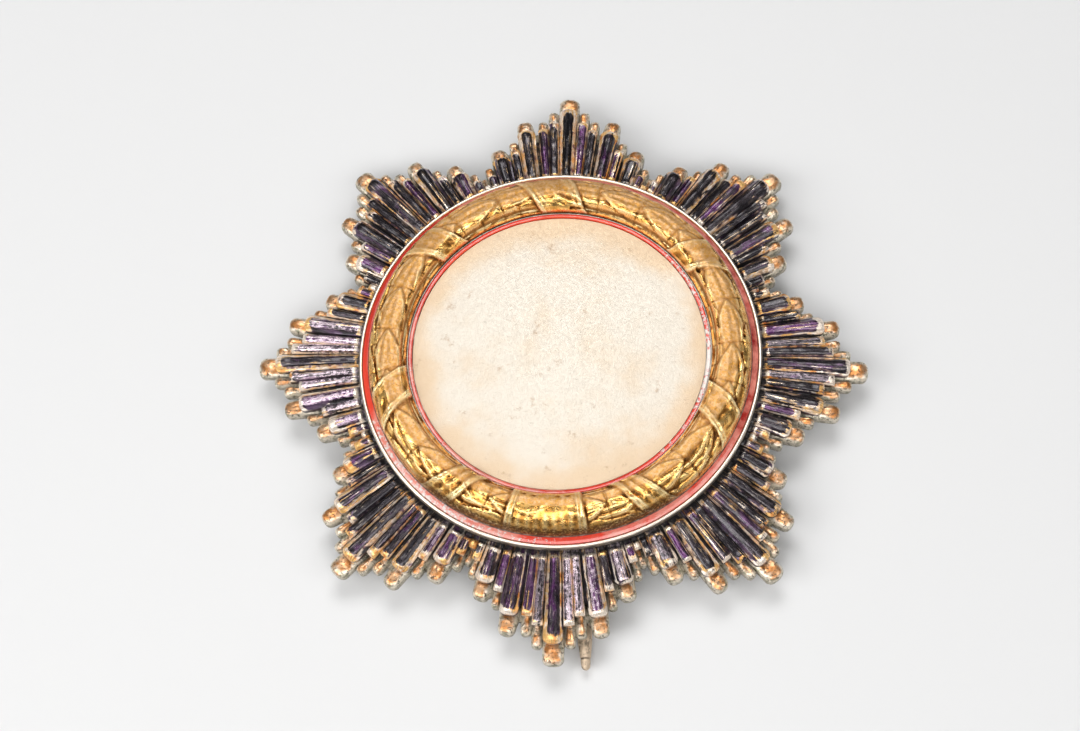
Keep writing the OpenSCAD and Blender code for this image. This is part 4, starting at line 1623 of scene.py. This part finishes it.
@dataclass
class Wreath:
    """Laurel wreath: a half-round tube on a sloping seat with leaves, crossing bands and a bare tablet."""

    medallion: Medallion
    height: float = 1.635
    leaf_relief: float = 0.52
    leaf_pitch: float = 15.0
    leaf_span: float = 21.0
    first_tip: float = 1.3
    turn: float = -2.5
    tablet_half: float = 12.5
    along_steps: int = 1440
    across_steps: int = 58
    rows: tuple[LeafRow, ...] = (LeafRow(0.28, 0.11, 0.5), LeafRow(0.8, 0.12, 0.5), LeafRow(0.5, 0.235, 0.0))
    leaf_count: int = 13
    bands: tuple[Band, ...] = (
        Band(31.5, 4.8, 10.0, 0.16), Band(70.5, 6.3, -8.5), Band(128.5, 6.0, -9.0, 0.07),
    )
    top_band: Band = Band(6.0, 8.5, 9.0, 0.07)
    pits: tuple[Pit, ...] = (
        Pit(-116.5, 0.84, 1.6), Pit(-74.5, 0.85), Pit(154.0, 0.8, 1.0), Pit(-151.0, 0.74, 1.8, 0.02),
        Pit(123.5, 0.3, 1.3), Pit(178.0, 0.14, 4.5, 0.045), Pit(-17.5, 0.2, 1.2, 0.025),
        Pit(-8.0, 0.24, 0.9, 0.02), Pit(-4.5, 0.25, 0.9, 0.02), Pit(4.0, 0.24, 1.0, 0.02),
        Pit(7.5, 0.24, 1.0, 0.02), Pit(97.0, 0.72, 0.6),
    )
    inner_round: float = 0.8
    outer_round: float = 1.0
    ledge_depth: float = 0.4
    fold: float = 1.0
    middle_r: float = 18.2
    degree_mm: float = 0.31
    dents: tuple[Waves, ...] = (Waves(0.06, 1.4, 0.4), Waves(0.045, 0.5, 4.4), Waves(0.018, 0.28, 8.1))
    folds: Waves = Waves(1.0, 0.75, 2.2)
    dimples: Waves = Waves(0.28, 0.55, 7.1)

    def leaf(
        self, row: LeafRow, tip: float, key: tuple[float, ...], angle: np.ndarray, across: np.ndarray
    ) -> Patch:
        """One pointed leaf with a raised border and a middle vein.

        Args:
            row: The row it stands in.
            tip: Angle of its tip from the tablet.
            key: Numbers that set its small differences.
            angle: Angle from the tablet at each place.
            across: Place across the wreath.

        Returns:
            The leaf's patch of relief.
        """
        sway = hashed(*key) - 0.5
        size = 1 + 0.2 * (hashed(key[0] + 7, *key[1:]) - 0.5)
        s = (tip + 2.0 * sway - angle) / (self.leaf_span * size)
        t = np.clip(s, 0, 1)
        middle = row.across + 0.04 * sway + 0.06 * (hashed(key[0] + 3, *key[1:]) - 0.5) * np.sin(np.pi * t)
        form = np.where(t < 0.45, 1 - (1 - t / 0.45) ** 1.6, 1 - 0.3 * ((t - 0.45) / 0.55) ** 1.5)
        half = row.half * size * form
        q = np.abs(across - middle) / np.maximum(half, 1e-3)
        inside = (s > 0) & (s < 1) & (q < 1)
        outside = np.maximum((q - 1) * half * 5.6, np.maximum(-s, 0) * 6.0)
        groove = np.exp(-((outside / 0.13) ** 2)) * (s > -0.05) * (s < 0.85) * ~inside
        border = np.exp(-(((q - 0.86) / 0.1) ** 2)) * (1 - 0.5 * t)
        vein = np.exp(-((q / 0.1) ** 2)) * step(t, 0.06, 0.25) * (1 - 0.5 * t)
        outward = (across - middle) / np.maximum(half, 1e-3)
        ribs = 0.2 * np.cos(2 * np.pi * (outward * 2.4 + 0.2 * np.sin(5 * t))) * step(outward, 0.05, 0.4)
        height = (1 - 0.66 * t**0.7) * (1 - 0.32 * q * q) + 0.2 * border - 0.22 * vein + ribs * (1 - 0.6 * t)
        return Patch(inside, np.maximum(height, 0.06), border, groove)

    def ribbon(self, band: Band, angle: np.ndarray, across: np.ndarray) -> Patch:
        """A crossing band with doubled borders and soft lengthwise folds."""
        u = (angle - band.at - band.lean * (across - 0.5)) / band.half
        border = np.maximum(bead(u, -0.9, 0.12), bead(u, 0.9, 0.12))
        second = np.maximum(bead(u, -0.66, 0.1), 0.6 * bead(u, 0.66, 0.1))
        folds = band.folds * np.cos(2 * np.pi * u * 1.6)
        height = 0.86 + folds + 0.34 * border + 0.18 * second
        outside = (np.abs(u) - 1) * band.half * self.degree_mm
        groove = np.exp(-((outside / 0.14) ** 2)) * (outside > 0)
        return Patch(np.abs(u) < 1, height, np.maximum(border, 0.8 * second), groove)

    def tablet(self, angle: np.ndarray, across: np.ndarray) -> Patch:
        """The bare, faintly reeded tablet between double bars."""
        outer_bar = bead(angle, self.tablet_half - 0.75, 0.7)
        bars = np.maximum(outer_bar, bead(angle, self.tablet_half - 2.1, 0.5))
        reeds = 0.1 * np.cos(2 * np.pi * angle / 2.6) * step(across, 0.5, 0.66)
        height = 0.84 + 0.06 * np.cos(np.pi * angle / 4.5) + reeds * (1 - bars) + 0.36 * bars
        outside = (angle - self.tablet_half) * self.degree_mm
        groove = np.exp(-((outside / 0.14) ** 2)) * (outside > 0)
        return Patch(angle < self.tablet_half, height, np.maximum(0.7 * bars, 3 * reeds), groove)

    def relief(self) -> Relief:
        """Lays the leaves, the bands and the tablet over the whole wreath, and sinks the pits."""
        turn = (np.arange(self.along_steps) * 360.0 / self.along_steps + 180) % 360 - 180
        turn, across = np.meshgrid(turn, np.linspace(0, 1, self.across_steps + 1), indexing="ij")
        bend = 0.6 * np.sin(np.radians(turn) * 9) + 0.35 * np.sin(np.radians(turn) * 23 + 1)
        wavy = np.abs(turn + 0.45 * bend * np.sin(2 * np.pi * across))
        height = np.full_like(turn, 0.05)
        ridge = np.zeros_like(turn)
        ledge = np.ones_like(turn)

        def lay(patch: Patch, where: np.ndarray | bool = True) -> None:
            """Lays one patch over the relief made so far, with its groove round it."""
            nonlocal height, ridge
            here = patch.inside & where
            cut = patch.groove * where
            height = np.where(here, patch.height, height - 0.52 * cut * (0.4 + 0.6 * np.clip(height, 0, 1)))
            ridge = np.where(here, patch.ridge, ridge * (1 - cut))

        for n, row in enumerate(self.rows):
            for i in reversed(range(self.leaf_count)):
                for side in (-1, 1):
                    tip = self.leaf_pitch * (i + self.first_tip + row.shift)
                    leaf = self.leaf(row, tip, (i + 1.0, n + 1.0, side + 3.0), wavy, across)
                    lay(leaf, np.sign(turn) == side)
        crossing = [self.ribbon(band, wavy, across) for band in self.bands]
        crossing += [self.tablet(wavy, across), self.ribbon(self.top_band, turn % 360 - 180, across)]
        for patch in crossing:
            lay(patch)
            ledge = np.where(patch.inside, 0.0, ledge * (1 - 0.5 * patch.groove))
        height = 0.55 * height + 0.45 * smoothed(height, 1, 1)
        for pit in self.pits:
            away = np.hypot((turn - pit.turn) / pit.half_turn, (across - pit.across) / pit.half_across)
            height = height - 1.1 * np.clip(1 - away**2, 0, 1) ** 0.5
        return Relief(turn, across, height, ridge, smoothed(ledge, 2, 1))

    def direction(self, laid: Relief) -> np.ndarray:
        """Angle of each place round the star, in radians from +X."""
        return np.radians(laid.turn + 270 + self.turn)

    def rubbed(self, laid: Relief, width: float, soft: float) -> np.ndarray:
        """Where handling has rubbed the crown, along a line that lies further out at the top of the star."""
        upward = np.sin(self.direction(laid))
        away = np.abs(laid.across - (0.46 + 0.15 * upward))
        return step(1 - away / (width * (0.23 + 0.06 * upward)), 0.0, soft)

    def step_back(self, laid: Relief) -> np.ndarray:
        """Where the foot steps back to the ledge inside the leaves."""
        return laid.ledge * step(laid.across, 0.05, 0.11) * step(laid.across, 0.29, 0.2)

    def worked(self, laid: Relief, worn: np.ndarray) -> np.ndarray:
        """Relief with folds and dimples drawn along the leaves, smoothed where it is worn."""
        around = np.radians(laid.turn)
        height = laid.height + (smoothed(laid.height, 2, 1) - laid.height) * 0.7 * worn
        arc = self.middle_r * np.radians(np.abs(laid.turn))
        sway = 4.6 * laid.across + 0.5 * np.sin(around * 7) + 0.2 * np.sin(around * 19)
        drawn = np.stack([0.2 * arc, sway, 0.3 * np.sin(around)], -1).reshape(-1, 3)
        ripple = 0.33 - np.abs(self.folds.over(drawn)).reshape(laid.turn.shape)
        dimples = self.dimples.over(drawn * 1.6).reshape(laid.turn.shape)
        plain = step(np.abs(laid.turn), self.tablet_half - 1, self.tablet_half + 2)
        share = (1 - worn) * (0.3 + 0.7 * plain)
        return height + (self.fold * ripple + dimples) * share * step(laid.across, 0.97, 0.9)

    def shell(self, laid: Relief, height: np.ndarray) -> np.ndarray:
        """Points of the half-round tube on its sloping seat, with the relief on it."""
        m = self.medallion
        gap = m.stack.seat_gap
        foot_r = m.wreath_inner_r + gap
        foot_z = m.bed_inner_z + gap
        rise = np.sin(np.pi * laid.across)
        place = (1 - np.cos(np.pi * laid.across)) / 2
        direction = self.direction(laid)
        flat = round_axis(self.middle_r, direction, m.wreath_w * laid.across).reshape(-1, 3)
        dents = sum(waves.over(flat) for waves in self.dents).reshape(laid.turn.shape)
        body = self.height * rise ** np.where(laid.across < 0.5, self.inner_round, self.outer_round)
        back = self.step_back(laid)
        uneven = (self.leaf_relief * height + dents * rise) * rise**0.5 * (1 - back)
        lift = body + uneven - self.ledge_depth * back
        r = foot_r + (m.wreath_outer_r - gap - foot_r) * place
        z = foot_z + (m.bed_outer_z + gap - foot_z) * place + np.maximum(lift, 0.05 * rise)
        return round_axis(r, direction, z)

    def looks(self, laid: Relief, height: np.ndarray, worn: np.ndarray) -> dict[str, np.ndarray]:
        """The named values that the finish reads, by step along and across."""
        across = laid.across
        # Places lower than their surroundings get painted shade with dirt, and so do the corner of the ledge
        # and the very inner foot.
        wide = smoothed(height, 8, 4)
        hollow = np.clip((wide - height) * 2.8, 0, 1) * np.sin(np.pi * across) ** 0.3 * (1 - 0.5 * worn)
        corner_shade = 0.6 * laid.ledge * bead(across, 0.22, 0.022)
        bottom = np.clip(np.cos(np.radians(laid.turn)), 0, 1) ** 0.7
        outer_foot = step(across, 0.74, 0.86)
        # Darker patchy band at the outer foot along the bottom: a painted dark reflection on a rough matted
        # ground.
        dark_foot = outer_foot * step(bottom, 0.72, 0.9) * 0.95
        # Raised places, ridges and the ledge are drawn paler: a painted highlight.
        painted_highlight = np.clip((height - wide) * 1.8, 0, 1) * 0.75 + laid.ridge * 0.4 + 0.5 * self.step_back(laid)
        foot = outer_foot * (0.15 + 0.85 * step(bottom, 0.8, 0.95)) * (1 - 0.8 * np.clip(dark_foot, 0, 1))
        return {
            "crown": self.rubbed(laid, 1.0, 0.5) * (1 - 0.6 * laid.ledge * step(across, 0.3, 0.2)),
            "hollow": np.maximum(np.maximum(hollow, corner_shade), step(across, 0.03, 0.0)),
            "dark_foot": dark_foot,
            "ridge": np.clip(painted_highlight * (1 - 0.55 * worn), 0, 1),
            "foot": foot,
        }

    def build(self, effects: Effects) -> bpy.types.Object:
        """Makes the wreath and dresses it."""
        laid = self.relief()
        worn = self.rubbed(laid, 0.9, 0.6)
        height = self.worked(laid, worn)
        points = self.shell(laid, height).reshape(-1, 3)
        values = {key: value.reshape(-1) for key, value in self.looks(laid, height, worn).items()}
        steps, width = laid.turn.shape
        faces = []
        for i in range(steps):
            a = i * width
            b = (i + 1) % steps * width
            for j in range(width):
                k = (j + 1) % width
                faces.append((a + j, a + k, b + k, b + j))
        wreath = make_mesh("laurel_wreath", points, faces, values, 75.0)
        wreath.data.materials.append(WreathGilt().build(effects))
        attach(wreath, "star")
        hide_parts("wreath")
        return wreath


# The pin and the fittings


@dataclass
class PinWork:
    """The hinged pin with its eye, and the finishes of the block, rod and catch."""

    hinge_at: float = 26.0
    hinge_z: float = 1.15
    rod_d: float = 0.8
    eye_clearance: float = 0.04
    eye_d: float = 2.0
    eye_w: float = 1.9
    wire_d: float = 1.6
    end_d: float = 0.96
    taper: float = 3.0
    tip_at: float = 32.4
    side: float = 3.3
    bevel: float = 0.07
    bore_chamfer: float = 0.05
    eye_soft: float = 0.12
    eye_corner: float = 0.035
    eye_steps: int = 72
    wire_steps: int = 40
    straight_steps: int = 90
    taper_steps: int = 34
    tip_steps: int = 7
    groove_back: float = 1.2
    pitted: tuple[float, float] = (30.0, 52.0)
    dents: Waves = Waves(0.022, 0.8, 6.1)
    fitting_metal: Look = Look((0.60, 0.55, 0.46), 1.0, 0.34)
    fitting_skin: Skin = Skin(2400.0, 0.6, 0.00014, 0.9)

    @property
    def length(self) -> float:
        """Length of the wire from the rod's axis to its tip."""
        return math.hypot(self.side, self.hinge_at + self.tip_at)

    def at_hinge(self, turned: Matrix) -> Matrix:
        """The given turn, then the move to the hinge rod."""
        return Matrix.Translation((0, self.hinge_at * MM, self.hinge_z * MM)) @ turned

    def eye(self) -> bpy.types.Object:
        """The barrel that turns on the rod, with rounded edges."""
        outer = self.eye_d / 2
        bore = self.rod_d / 2 + self.eye_clearance
        half = self.eye_w / 2
        lower = [
            (bore, -half + self.bore_chamfer),
            (bore + self.bore_chamfer, -half),
            (outer - self.eye_soft, -half),
            (outer - self.eye_corner, -half + self.eye_corner),
            (outer, -half + self.eye_soft),
        ]
        upper = [(r, -z) for r, z in reversed(lower)]
        barrel = lathe("pin_eye_part", lower + upper, self.eye_steps)
        barrel.data.transform(self.at_hinge(Matrix.Rotation(math.pi / 2, 4, "Y")))
        return barrel

    def stations(self) -> list[tuple[float, float]]:
        """Distance from the rod and radius of each ring of the wire, with a fine groove before the tip."""
        end_r, wire_r = self.end_d / 2, self.wire_d / 2
        straight = self.length - self.taper - end_r
        found = [(0.62, wire_r * 0.93), (0.9, wire_r)]
        found += [(t, wire_r) for t in np.linspace(1.4, straight, self.straight_steps)]
        for t in np.linspace(0.12, self.taper, self.taper_steps):
            found.append((straight + t, wire_r + (end_r - wire_r) * (t / self.taper) ** 1.1))
        groove_at = self.length - self.groove_back
        found = [(t, r - 0.09 * math.exp(-(((t - groove_at) / 0.07) ** 2))) for t, r in found]
        for a in np.linspace(0.2, 1.45, self.tip_steps):
            found.append((self.length - end_r + end_r * math.sin(a) * 0.98, end_r * math.cos(a)))
        return found

    def wire(self) -> bpy.types.Object:
        """The wire from the eye to its blunt, pitted tip."""
        around = self.wire_steps
        stations = self.stations()
        turn = np.linspace(0, 2 * np.pi, around, endpoint=False)
        rings = [np.stack([r * np.cos(turn), np.full(around, -t), r * np.sin(turn)], -1) for t, r in stations]
        points = np.concatenate(rings)
        away = -points[:, 1]
        far = step(away, *self.pitted)
        dents = self.dents.over(points) + (0.02 + 0.03 * far) * lumps(points, 0.4, 2.6)
        girth = np.hypot(points[:, 0], points[:, 2])
        shrink = 1 - np.clip(0.02 + np.abs(dents) * 0.9, 0, 0.08) / np.maximum(girth, 0.3)
        points[:, 0] *= shrink
        points[:, 2] *= shrink
        groove = np.exp(-(((away - (self.length - self.groove_back)) / 0.09) ** 2))
        hollow = np.clip(groove + np.abs(dents) * 6 * far, 0, 1)
        middle = len(points)
        points = np.vstack([points, [[0, -stations[0][0], 0], [0, -self.length + 0.004, 0]]])
        hollow = np.append(hollow, [0, 0.2])
        faces = [tuple(reversed(f)) for f in ring_quads(len(stations), around)]
        faces += closing_fan(0, around, middle, False)
        faces += closing_fan(len(stations) - 1, around, middle + 1, True)
        wire = make_mesh("pin_wire_part", points, faces, {"hollow": hollow}, 60.0)
        lean = math.atan2(self.side, self.hinge_at + self.tip_at)
        wire.data.transform(self.at_hinge(Matrix.Rotation(lean, 4, "Z")))
        return wire

    def pin(self, effects: Effects) -> bpy.types.Object:
        """The eye and the wire as one solid."""
        wire, eye = self.wire(), self.eye()
        joined = wire.modifiers.new("solder", "BOOLEAN")
        joined.operation = "UNION"
        joined.object = eye
        joined.solver = "EXACT"
        bpy.context.view_layer.update()
        evaluated = wire.evaluated_get(bpy.context.evaluated_depsgraph_get())
        mesh = bpy.data.meshes.new_from_object(evaluated)
        mesh.name = "pin_with_eye"
        pin = bpy.data.objects.new("pin_with_eye", mesh)
        bpy.context.scene.collection.objects.link(pin)
        for part in (wire, eye):
            bpy.data.objects.remove(part)
        mesh.materials.clear()
        mesh.materials.append(DullNickel("pin_nickel").build(effects))
        mesh.polygons.foreach_set("use_smooth", [True] * len(mesh.polygons))
        mesh.set_sharp_from_angle(angle=math.radians(50))
        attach(pin, "pin")
        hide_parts("pin")
        return pin

    def fittings(self, effects: Effects, nodes: dict[str, bpy.types.Object]) -> None:
        """Dresses the block, the rod and the catch, and softens their edges."""
        nickel = DullNickel("fitting_nickel", self.fitting_metal, skin=self.fitting_skin).build(effects)
        for name in ("hinge_block", "hinge_rod", "catch"):
            node = nodes[name]
            node.data.materials.clear()
            node.data.materials.append(nickel)
            weld = node.modifiers.new("weld", "WELD")
            weld.merge_threshold = 1e-6
            soften = node.modifiers.new("soften", "BEVEL")
            soften.width = self.bevel * MM
            soften.segments = 2
            soften.limit_method = "ANGLE"
            soften.angle_limit = math.radians(40)
            soften.harden_normals = False

    def build(self, effects: Effects, nodes: dict[str, bpy.types.Object]) -> bpy.types.Object:
        """Makes the pin and dresses the fittings."""
        self.fittings(effects, nodes)
        return self.pin(effects)


# The studio


@dataclass(frozen=True)
class Softbox:
    """A soft studio light: where it stands in mm round the star, its size in mm, and its power in watts."""

    name: str
    azimuth: float
    elevation: float
    distance: float
    width: float
    depth: float
    power: float


@dataclass
class Studio:
    """Pale floor, soft lights and the camera at the photo's viewing angle."""

    azimuth: float = 8.98
    elevation: float = 67.53
    roll: float = -7.96
    distance: float = 273.4
    look_z: float = 3.6
    focal_px: float = 2568.0
    shift_px: tuple[float, float] = (21.5, 3.2)
    floor_half: float = 1500.0
    floor_grey: float = 0.71
    floor_rough: float = 0.8
    room_rise: Rise = Rise(0.1, 0.95, 0.17, 0.03)
    room_color: Rgb = (1.0, 0.99, 0.98)
    seen_level: float = 0.82
    boxes: tuple[Softbox, ...] = (
        Softbox("overhead", 185.0, 64.0, 420.0, 260.0, 180.0, 0.82),
        Softbox("left", -62.0, 40.0, 420.0, 220.0, 220.0, 0.74),
        Softbox("right", 66.0, 42.0, 420.0, 200.0, 200.0, 0.32),
        Softbox("front", 0.0, 55.0, 430.0, 400.0, 200.0, 0.92),
    )

    @staticmethod
    def direction(azimuth: float, elevation: float) -> Vector:
        """Unit vector towards a place round the star; azimuth 0 is the side of -Y."""
        a, e = math.radians(azimuth), math.radians(elevation)
        return Vector((math.sin(a) * math.cos(e), -math.cos(a) * math.cos(e), math.sin(e)))

    def camera(self) -> None:
        """Makes the camera."""
        data = bpy.data.cameras.new("camera")
        camera = bpy.data.objects.new("camera", data)
        bpy.context.scene.collection.objects.link(camera)
        back = self.direction(self.azimuth, self.elevation)
        right = Vector((0, 0, 1)).cross(back).normalized()
        up = back.cross(right)
        turn = math.radians(self.roll)
        x = right * math.cos(turn) + up * math.sin(turn)
        y = -right * math.sin(turn) + up * math.cos(turn)
        camera.matrix_world = Matrix((
            (x.x, y.x, back.x, back.x * self.distance * MM),
            (x.y, y.y, back.y, back.y * self.distance * MM),
            (x.z, y.z, back.z, (back.z * self.distance + self.look_z) * MM),
            (0, 0, 0, 1),
        ))
        data.sensor_fit = "HORIZONTAL"
        data.sensor_width = 36.0
        data.lens = self.focal_px / IMAGE_WIDTH * data.sensor_width
        data.shift_x = -self.shift_px[0] / IMAGE_WIDTH
        data.shift_y = self.shift_px[1] / IMAGE_WIDTH
        data.clip_start = 0.01
        data.clip_end = 10.0
        bpy.context.scene.camera = camera

    def lights(self) -> None:
        """Hangs the soft lights, each turned towards the star."""
        for box in self.boxes:
            data = bpy.data.lights.new(box.name, "AREA")
            data.shape = "RECTANGLE"
            data.size = box.width * MM
            data.size_y = box.depth * MM
            data.energy = box.power
            light = bpy.data.objects.new(box.name, data)
            bpy.context.scene.collection.objects.link(light)
            back = self.direction(box.azimuth, box.elevation)
            light.location = back * box.distance * MM
            light.rotation_mode = "QUATERNION"
            light.rotation_quaternion = back.to_track_quat("Z", "Y")

    def room(self) -> None:
        """Pale surroundings: seen as plain pale grey, brighter overhead in reflections."""
        world = bpy.data.worlds.new("studio")
        bpy.context.scene.world = world
        world.use_nodes = True
        graph = Graph(world.node_tree)
        place = graph.node("ShaderNodeTexCoord").outputs["Generated"]
        up = graph.node("ShaderNodeSeparateXYZ", {"Vector": place}).outputs["Z"]
        seen = graph.node("ShaderNodeLightPath").outputs["Is Camera Ray"]
        strength = graph.blend(seen, graph.rise(up, self.room_rise), self.seen_level)
        shade = graph.node("ShaderNodeBackground", {"Color": self.room_color, "Strength": strength})
        out = graph.node("ShaderNodeOutputWorld")
        graph.feed(out.inputs["Surface"], shade.outputs[0])

    def floor(self) -> None:
        """The plain pale floor."""
        half = self.floor_half
        points = np.array([[-half, -half, 0], [half, -half, 0], [half, half, 0], [-half, half, 0]], float)
        floor = make_mesh("floor", points, [(0, 1, 2, 3)])
        material, _, shader = start_material("pale_floor")
        shader.inputs["Base Color"].default_value = (self.floor_grey, self.floor_grey, self.floor_grey, 1.0)
        shader.inputs["Roughness"].default_value = self.floor_rough
        floor.data.materials.append(material)

    def build(self) -> None:
        """Sets up the whole studio and the plain colour treatment."""
        self.camera()
        self.lights()
        self.room()
        self.floor()
        scene = bpy.context.scene
        scene.view_settings.view_transform = "Standard"
        scene.view_settings.look = "None"


def main() -> None:
    logging.basicConfig(level=logging.INFO, format="%(name)s: %(message)s")
    Studio().build()
    effects = Effects()
    stack = StarStack()
    medallion = Medallion(stack)
    made = [
        RayedStar(stack, "silver_star", is_upper=False).build(effects),
        RayedStar(stack, "dark_star", is_upper=True).build(effects),
        *medallion.build(effects),
        Wreath(medallion).build(effects),
        PinWork().build(effects, frame["nodes"]),
    ]
    for piece in made:
        piece.data.calc_loop_triangles()
        log.info("%s: %d triangles", piece.name, len(piece.data.loop_triangles))
    bpy.context.view_layer.update()


if __name__ == "__main__":
    main()
